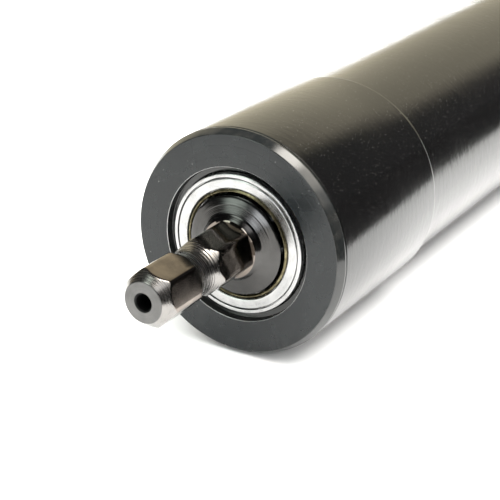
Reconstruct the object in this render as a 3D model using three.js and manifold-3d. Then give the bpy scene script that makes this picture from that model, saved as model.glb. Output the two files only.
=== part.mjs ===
// A tubular roller shutter motor: a coated steel tube that holds a motor, a three-stage planetary
// gearbox, a brake, a capacitor and the limit switches. A hexagon shaft leaves the front cap, and a
// fixed head with a free-turning crown ring closes the rear.
//
// Every piece is laid out around the motor's axis, with its place along the axis measured backwards
// from the front cap's face. The finished group is then moved so that the motor lies on z = 0,
// centred on the origin, with its shaft pointing along -Y and +Z up. Lengths are millimetres.

import * as THREE from 'three';
import { mergeVertices } from 'three/addons/utils/BufferGeometryUtils.js';
import Module from 'manifold-3d';

const wasm = await Module();
wasm.setup();

// Gaps between pieces.
const GAP = 0.3;                    // between pieces that rest on or sit in each other
const RUNNING_GAP = 0.1;            // between a shaft and the bore that it is carried in

// Tube and front cap.
const CAP_RADIUS = 22.5;            // front cap and collar
const TUBE_STEP = 0.9;              // how far the rest of the tube lies below the collar
const TUBE_WALL = 1.5;
const TUBE_END = 318;               // rear end of the tube
const COLLAR_LENGTH = 41;
const SWAGE_LENGTH = 1.2;           // slope between the collar and the tube
const CAP_RIM = 2;                  // thickness of the cap's rim in front of the tube
const CAP_CHAMFER_DEPTH = 1.67;
const CAP_CHAMFER_HEIGHT = 0.9;
const CAP_DEPTH = 13.7;             // whole length of the cap
const RECESS_WIDTH = 1.3;           // relief around the bearing
const RECESS_DEPTH = 1.8;

// Ball bearing behind the cap's face.
const BEARING_RADIUS = 14;
const BEARING_BORE = 7.5;
const BEARING_WIDTH = 7;
const BEARING_FACE = 0.43;          // how far the bearing lies below the cap's face
const BEARING_WALL = 1.6;           // radial thickness of the outer ring
const BEARING_LAND = 0.8;           // what the shield leaves of the outer ring's face
const INNER_RING_RADIUS = 9.3;
const BALL_CLEARANCE = 0.2;
const BALL_COUNT = 9;
const SHIELD_THICKNESS = 0.4;
const DUST_RING_WIDTH = 0.75;
const CAGE_HALF_WALL = 0.5;
const CAGE_HALF_WIDTH = 1.6;

// Output shaft.
const SHAFT_REACH = 30.3;           // from the cap's face to the shaft's tip
const HEX_ACROSS_FLATS = 10;
const HEX_TURN = 46.8;              // corner nearest the top on the right, in degrees from upright
const HEX_CORNER_RELIEF = 0.1735;   // how far the corners are turned down
const SHAFT_TIP_RADIUS = 3.9;
const SHAFT_TIP_CHAMFER = 2.4;
const CENTRE_HOLE_RADIUS = 1.6;
const CENTRE_HOLE_DEPTH = 8;
const GROOVE_START = 12.2;          // snap groove across the hexagon, from the cap's face
const GROOVE_LENGTH = 7.7;
const GROOVE_DEPTH = 1.2;
const BOSS_RADIUS = 9.85;
const BOSS_HEIGHT = 1.15;           // how far the boss stands in front of the cap's face
const BOSS_STEP = 1.15;             // the boss's inner step, outside the hexagon's corners
const BOSS_STEP_HEIGHT = 0.3;
const BOSS_EDGE = 0.15;             // how far the boss's rim stands in front of the cap's face
const JOURNAL_TAIL = 1.5;           // journal behind the circlip's groove
const CIRCLIP_GROOVE_DEPTH = 0.6;
const DRIVE_LENGTH = 8.5;           // hexagon at the shaft's inner end
const CIRCLIP_THICKNESS = 0.8;
const CIRCLIP_HEIGHT = 2.5;

// Planetary gearbox: three equal stages in one ring gear.
const GEAR_MODULE = 0.83;
const SUN_TEETH = 9;
const PLANET_TEETH = 15;
const RING_TEETH = SUN_TEETH + 2 * PLANET_TEETH;
const PLANETS_PER_STAGE = 3;
const STAGE_COUNT = 3;
const STAGE_LENGTH = 16;
const CARRIER_THICKNESS = 3.2;
const CARRIER_CLEARANCE = 0.421;    // from a carrier's rim to the ring gear's teeth
const PLANET_WIDTH = 9.5;
const PLANET_PIN_RADIUS = 1.8;
const HUB_WALL = 3;                 // around the output shaft's hexagon
const HUB_SPACE = 2.2;              // from the circlip to the hub
const ADDENDUM = 0.8;               // tooth heights, in modules
const DEDENDUM = 1.25;
const TOOTH_THINNING = 0.3;         // what is taken off each tooth's thickness for backlash
const FLANK_SLOPE = Math.tan(THREE.MathUtils.degToRad(20));
const GEARBOX_COVER_THICKNESS = 3.5;

// Motor.
const MOTOR_SHAFT_RADIUS = 4;
const MOTOR_SHAFT_SIDES = 16;
const PINION_RUN_OUT = 1.5;
const ROTOR_SHAFT_RADIUS = 5;
const BRACKET_THICKNESS = 7;
const BUSH_RADIUS = 7;
const WINDOW_COUNT = 4;             // openings in a motor bracket for air and wires
const WINDOW_ORBIT = 13.5;
const WINDOW_RADIUS = 3.2;
const ROTOR_RADIUS = 11;
const ROTOR_BAR_COUNT = 9;
const ROTOR_NOTCH_WIDTH = 2.4;
const ROTOR_NOTCH_DEPTH = 2.2;
const END_RING_LENGTH = 5;
const END_RING_WALL = 4.2;
const CORE_OVERHANG = 1;            // how far the rotor's core reaches past the stator's
const AIR_GAP = 0.4;
const STATOR_LENGTH = 60;
const SLOT_COUNT = 12;
const SLOT_HALF_WIDTH = 1.5;
const SLOT_BOTTOM_RADIUS = 16.8;
const WINDING_OVERHANG = 9;
const WINDING_RADIUS = 18.8;
const WINDING_CLEARANCE = 1;

// Brake.
const BRAKE_DISC_RADIUS = 15;
const BRAKE_DISC_THICKNESS = 3.5;
const ARMATURE_RADIUS = 17;
const ARMATURE_THICKNESS = 3;
const ARMATURE_TRAVEL = 0.5;
const POT_LENGTH = 16;
const POT_BASE = 5;
const POT_WALL = 2.2;
const POLE_WALL = 2;
const COIL_INSET = 1;
const ARMATURE_BORE_CLEARANCE = 0.8;
const SPRING_RADIUS = 5.8;
const SPRING_CLEARANCE = 1;
const SPRING_WIRE_RADIUS = 0.7;
const SPRING_TURNS = 4;
const SPRING_STEPS = 10;            // in each turn

// Capacitor.
const CAPACITOR_SPACE = 10.4;       // from the brake to the capacitor
const CAPACITOR_ROUND = 1.5;
const CAPACITOR_SLOT_HALF = 5;      // half the gap along the top of the capacitor's sleeve
const CAPACITOR_LENGTH = 52;
const CAPACITOR_RADIUS = 16;
const CAPACITOR_LID_THICKNESS = 3.5;
const CAPACITOR_LID_INSET = 1;
const SLEEVE_LENGTH = 34;

// Limit switch unit and crown ring.
const LIMIT_UNIT_SPACE = 3;         // from the limit unit to the head's spigot
const LIMIT_UNIT_LENGTH = 35;
const LIMIT_PLATE_THICKNESS = 3;
const CROWN_MODULE = 0.87;
const CROWN_TEETH = 40;
const CROWN_PINION_TEETH = 9;
const PINION_INSET = 1;             // pinion inside the crown's teeth, at each end
const CROWN_STEP_HEIGHT = 0.6;      // how far the crown ring stands above the tube
const CROWN_SPACE = 0.7;            // from the tube to the crown ring
const CROWN_GEAR_WIDTH = 7.3;
const CROWN_LENGTH = 14.6;
const CROWN_KEY_COUNT = 4;
const CROWN_KEY_WIDTH = 5;
const CROWN_KEY_DEPTH = 1.7;
const SPINDLE_RADIUS = 2.2;
const THREAD_PITCH = 3;
const THREAD_DEPTH = 0.5;
const THREAD_SIDES = 8;
const THREAD_INSET = 2;             // plain stretch before the thread
const NUT_SIZE = 7.6;
const NUT_LENGTH = 6;
const SWITCH_WIDTH = 6;
const SWITCH_LENGTH = 16;
const SWITCH_HEIGHT = 6.5;
const SWITCH_TOP = -7;
const SWITCH_INSET = 3.2;           // from a spindle to the switch beside it
const SWITCH_SHIFT = 0.4;
const BUTTON_PLACE_SHARE = 0.35;    // along the switch
const BUTTON_WELL = 3;
const BUTTON_CLEARANCE = 1.2;       // below the button in its well
const BEAM_HALF_WIDTH = 5;
const BEAM_BOTTOM = -15;
const BEAM_TOP = -9;
const BUTTON_RADIUS = 1.2;
const BUTTON_REACH = 1.4;

// Head.
const HEAD_RIM = 2.5;               // how far the head stands out past the cap
const HEAD_FLAT = CAP_RADIUS;       // distance of the head's two flats from the axis
const HEAD_LENGTH = 18.4;
const COVER_THICKNESS = 3.7;
const SPIGOT_RADIUS = 16.6;
const SPIGOT_LENGTH = 16;           // how far the spigot goes into the tube
const JOURNAL_RADIUS = 17.3;        // carries the crown ring
const WIRE_BORE_RADIUS = 8;
const POCKET_CLEARANCE = 0.5;       // around a pinion in the spigot
const WELL_CLEARANCE = 1.5;         // past the end of a screw
const HEAD_ARC_STEPS = 14;
const SOCKET_SIZE = 17;             // square socket for the wall bracket's stub
const SOCKET_DEPTH = 11;
const CABLE_HOLE_RADIUS = 3.4;
const GLAND_RADIUS = 5.6;
const GLAND_LENGTH = 6;
const ADJUSTER_RADIUS = 3;
const ADJUSTER_LENGTH = 17;
const ADJUSTER_ACROSS_FLATS = 3;
const ADJUSTER_SOCKET_DEPTH = 4;
const ADJUSTER_SINK = 0.5;          // below the cover's face
const ADJUSTER_PLACE = [11.5, 13.5];
const COVER_SCREW_PLACE = [17, -11];
const COVER_SCREW_RADIUS = 1.6;
const COVER_SCREW_HEAD_RADIUS = 2.8;
const COVER_SCREW_HEAD_HEIGHT = 1.6;
const COVER_SCREW_LENGTH = 11;
const SCREW_CROSS_REACH = 1.6;
const SCREW_CROSS_HALF_WIDTH = 0.4;
const SCREW_CROSS_DEPTH = 0.8;
const SCREW_SINK = 0.1;             // below the face that a screw or the gland sits in
const END_BUSH_LENGTH = 14;
const TUBE_SCREW_INSET = 7;         // from the tube's rear end
const TUBE_SCREW_RADIUS = 1.4;
const TUBE_SCREW_HEAD_RADIUS = 2.6;
const TUBE_SCREW_HEAD_HEIGHT = 0.7;

// Circles are drawn with these numbers of sides.
const LARGE_ROUND = 44;
const MEDIUM_ROUND = 24;
const SMALL_ROUND = 12;

// Tools reach this far past what they cut, and joined solids this far into each other.
const OVERRUN = 1;

// Sizes and places that several pieces share.
const TUBE_RADIUS = CAP_RADIUS - TUBE_STEP;
const RECESS_RADIUS = BEARING_RADIUS + RECESS_WIDTH;
const HEX_CORNER_RADIUS = HEX_ACROSS_FLATS / Math.sqrt(3) - HEX_CORNER_RELIEF;
const BOSS_STEP_RADIUS = HEX_CORNER_RADIUS + BOSS_STEP;
const CROWN_RADIUS = TUBE_RADIUS + CROWN_STEP_HEIGHT;
const HEAD_RADIUS = CAP_RADIUS + HEAD_RIM;
const BORE_RADIUS = TUBE_RADIUS - TUBE_WALL;
const FITTED_RADIUS = BORE_RADIUS - GAP;
const BEARING_BACK = BEARING_FACE + BEARING_WIDTH;
const CARRIER_FRONT = CAP_DEPTH + 2.3;
const RING_GEAR_FRONT = CAP_DEPTH + 1.3;
const GEARBOX_END = CARRIER_FRONT + STAGE_COUNT * STAGE_LENGTH - 2;
const BRACKET_FRONT = GEARBOX_END + GEARBOX_COVER_THICKNESS + 2.5;
const STATOR_FRONT = BRACKET_FRONT + BRACKET_THICKNESS + WINDING_OVERHANG + 4;
const STATOR_END = STATOR_FRONT + STATOR_LENGTH;
const REAR_BRACKET_FRONT = STATOR_END + WINDING_OVERHANG + 3;
const BRAKE_FRONT = REAR_BRACKET_FRONT + BRACKET_THICKNESS + 3;
const ARMATURE_FRONT = BRAKE_FRONT + BRAKE_DISC_THICKNESS + GAP;
const POT_FRONT = ARMATURE_FRONT + ARMATURE_THICKNESS + ARMATURE_TRAVEL + GAP;
const CAPACITOR_START = POT_FRONT + POT_LENGTH + CAPACITOR_SPACE;
const CROWN_FRONT = TUBE_END + CROWN_SPACE;
const CROWN_STEP = CROWN_FRONT + CROWN_GEAR_WIDTH;
const HEAD_FRONT = CROWN_FRONT + CROWN_LENGTH + GAP;
const SPINDLE_OFFSET = (CROWN_TEETH - CROWN_PINION_TEETH) / 2 * CROWN_MODULE;
const HEAD_BACK = HEAD_FRONT + HEAD_LENGTH;
const COVER_FRONT = HEAD_BACK + GAP;
const COVER_BACK = COVER_FRONT + COVER_THICKNESS;
const CABLE_HOLE_PLACE = (HEAD_FRONT + HEAD_BACK) / 2;
const TUBE_SCREW_PLACE = TUBE_END - TUBE_SCREW_INSET;
const LIMIT_UNIT_END = TUBE_END - SPIGOT_LENGTH - LIMIT_UNIT_SPACE;
const LIMIT_UNIT_START = LIMIT_UNIT_END - LIMIT_UNIT_LENGTH;

// Surface finishes: colour, roughness, metalness.
const BLACK_PAINT = [0x1c1c1b, 0.38, 0.1];
const CHARCOAL_METAL = [0x3f4546, 0.42, 0.8];
const BRIGHT_STEEL = [0xc9cac6, 0.22, 1];
const DARK_STEEL = [0x4a4742, 0.3, 1];
const PLAIN_STEEL = [0x8f9192, 0.4, 1];
const BRASS = [0xa8883f, 0.3, 1];
const COPPER = [0xb0642c, 0.4, 0.9];
const CAST_ALUMINIUM = [0xa9adb0, 0.5, 0.9];
const BLACK_PLASTIC = [0x202122, 0.55, 0];
const WHITE_PLASTIC = [0xd9d8d2, 0.5, 0];
const GREY_PLASTIC = [0x85888a, 0.5, 0];
const YELLOW_PLASTIC = [0xd3a91c, 0.45, 0];
const BLACK_RUBBER = [0x161616, 0.8, 0];

const group = new THREE.Group();
const motor = new THREE.Group();
motor.position.set(0, -(COVER_BACK - SHAFT_REACH) / 2, CAP_RADIUS);
group.add(motor);

function addPiece(name, geometry, [color, roughness, metalness]) {
  const material = new THREE.MeshStandardMaterial({ color, roughness, metalness });
  const mesh = new THREE.Mesh(geometry, material);
  mesh.name = name;
  motor.add(mesh);
  return mesh;
}

// ---- Building shapes -------------------------------------------------------------------------

function signedVolume(position, index) {
  const a = new THREE.Vector3();
  const b = new THREE.Vector3();
  const c = new THREE.Vector3();
  let volume = 0;
  for (let i = 0; i < index.length; i += 3) {
    a.fromBufferAttribute(position, index[i]);
    b.fromBufferAttribute(position, index[i + 1]);
    c.fromBufferAttribute(position, index[i + 2]);
    volume += a.dot(b.cross(c)) / 6;
  }
  return volume;
}

// Joins shared vertices, drops triangles without area and turns the faces outwards.
function closed(geometry) {
  geometry.deleteAttribute('normal');
  geometry.deleteAttribute('uv');
  const merged = mergeVertices(geometry, 1e-4);
  const index = [];
  for (let i = 0; i < merged.index.count; i += 3) {
    const [a, b, c] = [0, 1, 2].map((corner) => merged.index.getX(i + corner));
    if (a !== b && b !== c && c !== a) index.push(a, b, c);
  }
  if (signedVolume(merged.attributes.position, index) < 0) index.reverse();
  merged.setIndex(index);
  return merged;
}

// A body turned around the axis from [radius, place] points.
function turned(profile, sides = LARGE_ROUND) {
  const points = profile.map(([radius, place]) => new THREE.Vector2(radius, place));
  return closed(new THREE.LatheGeometry(points, sides));
}

// A ring or sleeve with a plain rectangular section.
function sleeve(innerRadius, outerRadius, start, end, sides = MEDIUM_ROUND) {
  const corners = [[innerRadius, start], [outerRadius, start], [outerRadius, end], [innerRadius, end]];
  return turned([...corners, corners[0]], sides);
}

function disc(radius, start, end, sides = MEDIUM_ROUND) {
  return turned([[0, start], [radius, start], [radius, end], [0, end]], sides);
}

// Outlines are lists of [x, z] points, seen from the front.
function circle(radius, sides, centreX = 0, centreZ = 0, firstAngle = 0) {
  return Array.from({ length: sides }, (_, i) => {
    const angle = firstAngle + i * 2 * Math.PI / sides;
    return [centreX + radius * Math.cos(angle), centreZ + radius * Math.sin(angle)];
  });
}

function rectangle(left, right, bottom, top) {
  return [[left, bottom], [right, bottom], [right, top], [left, top]];
}

// A hexagon whose corner lies cornerTurn degrees to the right of upright.
function hexagon(acrossFlats, cornerTurn) {
  const firstAngle = THREE.MathUtils.degToRad(90 - cornerTurn);
  return circle(acrossFlats / Math.sqrt(3), 6, 0, 0, firstAngle);
}

// A body with the same outline all along the axis, from start to end.
function prism(outline, start, end, holes = []) {
  const shape = new THREE.Shape(outline.map(([x, z]) => new THREE.Vector2(x, z)));
  shape.holes = holes.map((hole) => new THREE.Path(hole.map(([x, z]) => new THREE.Vector2(x, z))));
  const geometry = new THREE.ExtrudeGeometry(shape, { depth: end - start, bevelEnabled: false });
  const alongAxis = new THREE.Matrix4().set(1, 0, 0, 0, 0, 0, 1, start, 0, 1, 0, 0, 0, 0, 0, 1);
  return closed(geometry.applyMatrix4(alongAxis));
}

function block(left, right, start, end, bottom, top) {
  return prism(rectangle(left, right, bottom, top), start, end);
}

// A round bar that stands upright, from bottom to top.
function uprightBar(radius, bottom, top, x, place, sides = SMALL_ROUND) {
  const geometry = new THREE.CylinderGeometry(radius, radius, top - bottom, sides);
  geometry.rotateX(Math.PI / 2).translate(x, place, (bottom + top) / 2);
  return closed(geometry);
}

// A round bar that lies across the axis, from its inner to its outer end.
function crossBar(radius, inner, outer, place, side, sides = SMALL_ROUND) {
  const geometry = new THREE.CylinderGeometry(radius, radius, outer - inner, sides);
  geometry.rotateZ(Math.PI / 2).translate(side * (inner + outer) / 2, place, 0);
  return closed(geometry);
}

function parallelBar(radius, start, end, x, z, sides = SMALL_ROUND) {
  return prism(circle(radius, sides, x, z), start, end);
}

function solid(geometry) {
  const vertProperties = new Float32Array(geometry.attributes.position.array);
  const triVerts = new Uint32Array(geometry.index.array);
  return new wasm.Manifold(new wasm.Mesh({ numProp: 3, vertProperties, triVerts }));
}

function surface(body) {
  const mesh = body.getMesh();
  const geometry = new THREE.BufferGeometry();
  geometry.setAttribute('position', new THREE.BufferAttribute(mesh.vertProperties, mesh.numProp));
  geometry.setIndex(new THREE.BufferAttribute(mesh.triVerts, 1));
  return geometry;
}

function joined(...geometries) {
  return surface(geometries.map(solid).reduce((whole, piece) => whole.add(piece)));
}

function cut(geometry, ...tools) {
  return surface(tools.map(solid).reduce((whole, tool) => whole.subtract(tool), solid(geometry)));
}

function common(geometry, other) {
  return surface(solid(geometry).intersect(solid(other)));
}

// ---- Gear teeth ------------------------------------------------------------------------------

// The outline of a gear with straight-flanked teeth. phase is the angle of one tooth's middle.
// An inward gear is a hole whose teeth point to the axis.
function gearOutline(teeth, module, phase, inward = false, centreX = 0, centreZ = 0) {
  const side = inward ? -1 : 1;
  const pitchRadius = teeth * module / 2;
  const tipRadius = pitchRadius + side * ADDENDUM * module;
  const rootRadius = pitchRadius - side * DEDENDUM * module;
  const halfThickness = (Math.PI * module / 2 - TOOTH_THINNING) / 2;
  const tipHalfAngle = (halfThickness - ADDENDUM * module * FLANK_SLOPE) / tipRadius;
  const rootHalfAngle = (halfThickness + DEDENDUM * module * FLANK_SLOPE) / rootRadius;
  const corners = [
    [rootRadius, -rootHalfAngle], [tipRadius, -tipHalfAngle],
    [tipRadius, tipHalfAngle], [rootRadius, rootHalfAngle],
  ];
  const outline = [];
  for (let tooth = 0; tooth < teeth; tooth += 1) {
    const middle = phase + tooth * 2 * Math.PI / teeth;
    for (const [radius, offset] of corners) {
      const angle = middle + offset;
      outline.push([centreX + radius * Math.cos(angle), centreZ + radius * Math.sin(angle)]);
    }
  }
  return outline;
}

// The phase of a gear that meshes with a sun gear, which it lies beside in the given direction.
function phaseBesideSun(direction, teeth, sunTeeth, sunPhase) {
  const sunShare = (direction - sunPhase) * sunTeeth / (2 * Math.PI);
  return direction + Math.PI - 2 * Math.PI / teeth * (0.5 - sunShare);
}

// The phase of a ring gear that meshes with a gear inside it, and the other way round.
function phaseOfRing(direction, ringTeeth, teeth, phase) {
  const share = (direction - phase) * teeth / (2 * Math.PI);
  return direction - 2 * Math.PI / ringTeeth * (share - 0.5);
}

function phaseInRing(direction, teeth, ringTeeth, ringPhase) {
  const share = (direction - ringPhase) * ringTeeth / (2 * Math.PI);
  return direction - 2 * Math.PI / teeth * (share + 0.5);
}

// ---- Tube, cap and bearing -------------------------------------------------------------------

function housingTube() {
  const start = CAP_RIM + GAP;
  const swageEnd = COLLAR_LENGTH + SWAGE_LENGTH;
  const profile = [
    [CAP_RADIUS, start], [CAP_RADIUS, COLLAR_LENGTH], [TUBE_RADIUS, swageEnd], [TUBE_RADIUS, TUBE_END],
    [BORE_RADIUS, TUBE_END], [BORE_RADIUS, swageEnd], [CAP_RADIUS - TUBE_WALL, COLLAR_LENGTH],
    [CAP_RADIUS - TUBE_WALL, start], [CAP_RADIUS, start],
  ];
  const screwHoles = [-1, 1].map((side) => crossBar(
    TUBE_SCREW_RADIUS + GAP, BORE_RADIUS - OVERRUN, TUBE_RADIUS + OVERRUN, TUBE_SCREW_PLACE, side));
  return cut(turned(profile), ...screwHoles);
}

function frontCap() {
  const plugRadius = CAP_RADIUS - TUBE_WALL - GAP;
  const seatRadius = BEARING_RADIUS + GAP / 2;
  const seatBack = BEARING_BACK + GAP;
  const lipRadius = BEARING_RADIUS - BEARING_WALL + GAP;
  const profile = [
    [RECESS_RADIUS, 0], [CAP_RADIUS - CAP_CHAMFER_HEIGHT, 0], [CAP_RADIUS, CAP_CHAMFER_DEPTH],
    [CAP_RADIUS, CAP_RIM], [plugRadius, CAP_RIM], [plugRadius, CAP_DEPTH], [lipRadius, CAP_DEPTH],
    [lipRadius, seatBack], [seatRadius, seatBack], [seatRadius, RECESS_DEPTH],
    [RECESS_RADIUS, RECESS_DEPTH], [RECESS_RADIUS, 0],
  ];
  return turned(profile);
}

function ballCage() {
  const raceRadius = BEARING_RADIUS - BEARING_WALL;
  const pitchRadius = (INNER_RING_RADIUS + raceRadius) / 2;
  const ballRadius = (raceRadius - INNER_RING_RADIUS) / 2 - BALL_CLEARANCE;
  const middle = BEARING_FACE + BEARING_WIDTH / 2;
  const cage = sleeve(pitchRadius - CAGE_HALF_WALL, pitchRadius + CAGE_HALF_WALL,
    middle - CAGE_HALF_WIDTH, middle + CAGE_HALF_WIDTH);
  const balls = circle(pitchRadius, BALL_COUNT).map(([x, z]) => {
    const ball = new THREE.SphereGeometry(ballRadius, 6, 4);
    return closed(ball.translate(x, middle, z));
  });
  return joined(cage, ...balls);
}

function addBearing() {
  const landRadius = BEARING_RADIUS - BEARING_LAND;
  const raceRadius = BEARING_RADIUS - BEARING_WALL;
  const dustRingRadius = BOSS_RADIUS + GAP + DUST_RING_WIDTH;
  const shieldBack = BEARING_FACE + SHIELD_THICKNESS;
  const seatDepth = shieldBack + GAP;
  addPiece('bearing_outer_ring', turned([
    [landRadius, BEARING_FACE], [BEARING_RADIUS, BEARING_FACE], [BEARING_RADIUS, BEARING_BACK],
    [raceRadius, BEARING_BACK], [raceRadius, seatDepth], [landRadius, seatDepth],
    [landRadius, BEARING_FACE],
  ]), BRIGHT_STEEL);
  addPiece('bearing_inner_ring',
    sleeve(BEARING_BORE, INNER_RING_RADIUS, BEARING_FACE, BEARING_BACK), BRIGHT_STEEL);
  addPiece('bearing_ball_cage', ballCage(), BRIGHT_STEEL);
  addPiece('bearing_shield',
    sleeve(dustRingRadius + GAP / 2, landRadius - GAP / 2, BEARING_FACE, shieldBack), BRIGHT_STEEL);
  addPiece('brass_dust_ring',
    sleeve(BOSS_RADIUS + GAP, dustRingRadius, BEARING_FACE, shieldBack), BRASS);
}

// ---- Output shaft ----------------------------------------------------------------------------

// Points of the round-bottomed snap groove, from its front edge to its rear edge.
function grooveProfile() {
  const steps = 6;
  const halfLength = GROOVE_LENGTH / 2;
  const arcRadius = (halfLength ** 2 + GROOVE_DEPTH ** 2) / (2 * GROOVE_DEPTH);
  const middle = -(GROOVE_START + halfLength);
  const floorRadius = HEX_CORNER_RADIUS - GROOVE_DEPTH;
  return Array.from({ length: steps + 1 }, (_, i) => {
    const offset = (2 * i / steps - 1) * halfLength;
    const rise = arcRadius - Math.sqrt(arcRadius ** 2 - offset ** 2);
    return [floorRadius + rise, middle + offset];
  });
}

function outputShaft() {
  const holeEnd = -SHAFT_REACH + CENTRE_HOLE_DEPTH;
  const front = turned([
    [0, holeEnd + CENTRE_HOLE_RADIUS / 2], [CENTRE_HOLE_RADIUS, holeEnd],
    [CENTRE_HOLE_RADIUS, -SHAFT_REACH], [SHAFT_TIP_RADIUS, -SHAFT_REACH],
    [HEX_CORNER_RADIUS, -SHAFT_REACH + SHAFT_TIP_CHAMFER], ...grooveProfile(),
    [HEX_CORNER_RADIUS, 0], [0, 0],
  ], MEDIUM_ROUND);
  const hexBar = prism(hexagon(HEX_ACROSS_FLATS, HEX_TURN), -SHAFT_REACH - OVERRUN, OVERRUN);
  const journalRadius = BEARING_BORE - RUNNING_GAP;
  const clipFront = BEARING_BACK + GAP;
  const clipBack = clipFront + CIRCLIP_THICKNESS + 2 * GAP;
  const journalEnd = clipBack + JOURNAL_TAIL;
  const clipFloor = journalRadius - CIRCLIP_GROOVE_DEPTH;
  const boss = turned([
    [0, -BOSS_HEIGHT], [BOSS_STEP_RADIUS, -BOSS_HEIGHT],
    [BOSS_STEP_RADIUS, -BOSS_HEIGHT + BOSS_STEP_HEIGHT], [BOSS_RADIUS, -BOSS_EDGE],
    [BOSS_RADIUS, BEARING_FACE - GAP], [journalRadius, BEARING_FACE - GAP],
    [journalRadius, clipFront], [clipFloor, clipFront], [clipFloor, clipBack],
    [journalRadius, clipBack], [journalRadius, journalEnd], [0, journalEnd],
  ], MEDIUM_ROUND);
  const drive = prism(hexagon(HEX_ACROSS_FLATS, HEX_TURN), journalEnd - OVERRUN, journalEnd + DRIVE_LENGTH);
  return joined(common(front, hexBar), boss, drive);
}

function shaftCirclip() {
  const start = BEARING_BACK + 2 * GAP;
  const innerRadius = BEARING_BORE - RUNNING_GAP - GAP;
  const openHalfAngle = Math.PI / 6;
  const steps = 14;
  const angles = Array.from({ length: steps + 1 }, (_, i) =>
    openHalfAngle + i * (2 * Math.PI - 2 * openHalfAngle) / steps);
  const arc = (radius) => angles.map((angle) => [radius * Math.sin(angle), radius * Math.cos(angle)]);
  const outline = [...arc(innerRadius + CIRCLIP_HEIGHT), ...arc(innerRadius).reverse()];
  return prism(outline, start, start + CIRCLIP_THICKNESS);
}

// ---- Gearbox ---------------------------------------------------------------------------------

const PLANET_DIRECTIONS = Array.from({ length: PLANETS_PER_STAGE }, (_, i) =>
  Math.PI / 2 + i * 2 * Math.PI / PLANETS_PER_STAGE);
const PLANET_ORBIT = (SUN_TEETH + PLANET_TEETH) / 2 * GEAR_MODULE;
const RING_TIP_RADIUS = (RING_TEETH / 2 - ADDENDUM) * GEAR_MODULE;
const CARRIER_RADIUS = RING_TIP_RADIUS - CARRIER_CLEARANCE;
const SUN_PHASE = 0;
const RING_PHASE = phaseOfRing(PLANET_DIRECTIONS[0], RING_TEETH, PLANET_TEETH,
  phaseBesideSun(PLANET_DIRECTIONS[0], PLANET_TEETH, SUN_TEETH, SUN_PHASE));

function planetPlaces() {
  return PLANET_DIRECTIONS.map((angle) =>
    [PLANET_ORBIT * Math.cos(angle), PLANET_ORBIT * Math.sin(angle)]);
}

// Stage 1 is driven by the motor and stage 3 drives the output shaft.
function stageFront(stage) {
  return CARRIER_FRONT + (STAGE_COUNT - stage) * STAGE_LENGTH;
}

function planetFront(stage) {
  return stageFront(stage) + CARRIER_THICKNESS + GAP;
}

function sunGear(start, end) {
  return prism(gearOutline(SUN_TEETH, GEAR_MODULE, SUN_PHASE), start, end);
}

function carrier(stage, ...hubPieces) {
  const front = stageFront(stage);
  const plate = disc(CARRIER_RADIUS, front, front + CARRIER_THICKNESS);
  const pinEnd = planetFront(stage) + PLANET_WIDTH;
  const pins = planetPlaces().map(([x, z]) =>
    parallelBar(PLANET_PIN_RADIUS, front + CARRIER_THICKNESS / 2, pinEnd, x, z));
  return joined(plate, ...pins, ...hubPieces);
}

// A carrier whose front carries the sun gear of the next stage.
function sunCarrier(stage) {
  const sunStart = planetFront(stage + 1) + GAP;
  return carrier(stage, sunGear(sunStart, stageFront(stage) + CARRIER_THICKNESS / 2));
}

function outputCarrier() {
  const hubFront = BEARING_BACK + CIRCLIP_THICKNESS + 4 * GAP + HUB_SPACE;
  const hub = disc(HEX_CORNER_RADIUS + HUB_WALL, hubFront, CARRIER_FRONT + CARRIER_THICKNESS / 2);
  const socket = prism(hexagon(HEX_ACROSS_FLATS + 2 * GAP, HEX_TURN),
    hubFront - OVERRUN, CARRIER_FRONT + CARRIER_THICKNESS + OVERRUN);
  return cut(carrier(STAGE_COUNT, hub), socket);
}

function planetGear(direction, stage) {
  const x = PLANET_ORBIT * Math.cos(direction);
  const z = PLANET_ORBIT * Math.sin(direction);
  const phase = phaseBesideSun(direction, PLANET_TEETH, SUN_TEETH, SUN_PHASE);
  const outline = gearOutline(PLANET_TEETH, GEAR_MODULE, phase, false, x, z);
  const bore = circle(PLANET_PIN_RADIUS + GAP, SMALL_ROUND, x, z);
  const start = planetFront(stage);
  return prism(outline, start, start + PLANET_WIDTH, [bore]);
}

function addGearbox() {
  const teeth = gearOutline(RING_TEETH, GEAR_MODULE, RING_PHASE, true);
  addPiece('ring_gear',
    prism(circle(FITTED_RADIUS, LARGE_ROUND), RING_GEAR_FRONT, GEARBOX_END, [teeth]), PLAIN_STEEL);
  addPiece('output_carrier', outputCarrier(), PLAIN_STEEL);
  addPiece('second_carrier', sunCarrier(2), PLAIN_STEEL);
  addPiece('first_carrier', sunCarrier(1), PLAIN_STEEL);
  const stageNames = ['first', 'second', 'third'];
  stageNames.forEach((stageName, i) => {
    PLANET_DIRECTIONS.forEach((direction, j) => {
      addPiece(`${stageName}_planet_${j + 1}`, planetGear(direction, i + 1), PLAIN_STEEL);
    });
  });
  const coverFront = GEARBOX_END + GAP;
  addPiece('gearbox_cover',
    sleeve(MOTOR_SHAFT_RADIUS + 2, FITTED_RADIUS, coverFront, coverFront + GEARBOX_COVER_THICKNESS),
    CAST_ALUMINIUM);
}

// ---- Motor -----------------------------------------------------------------------------------

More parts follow.
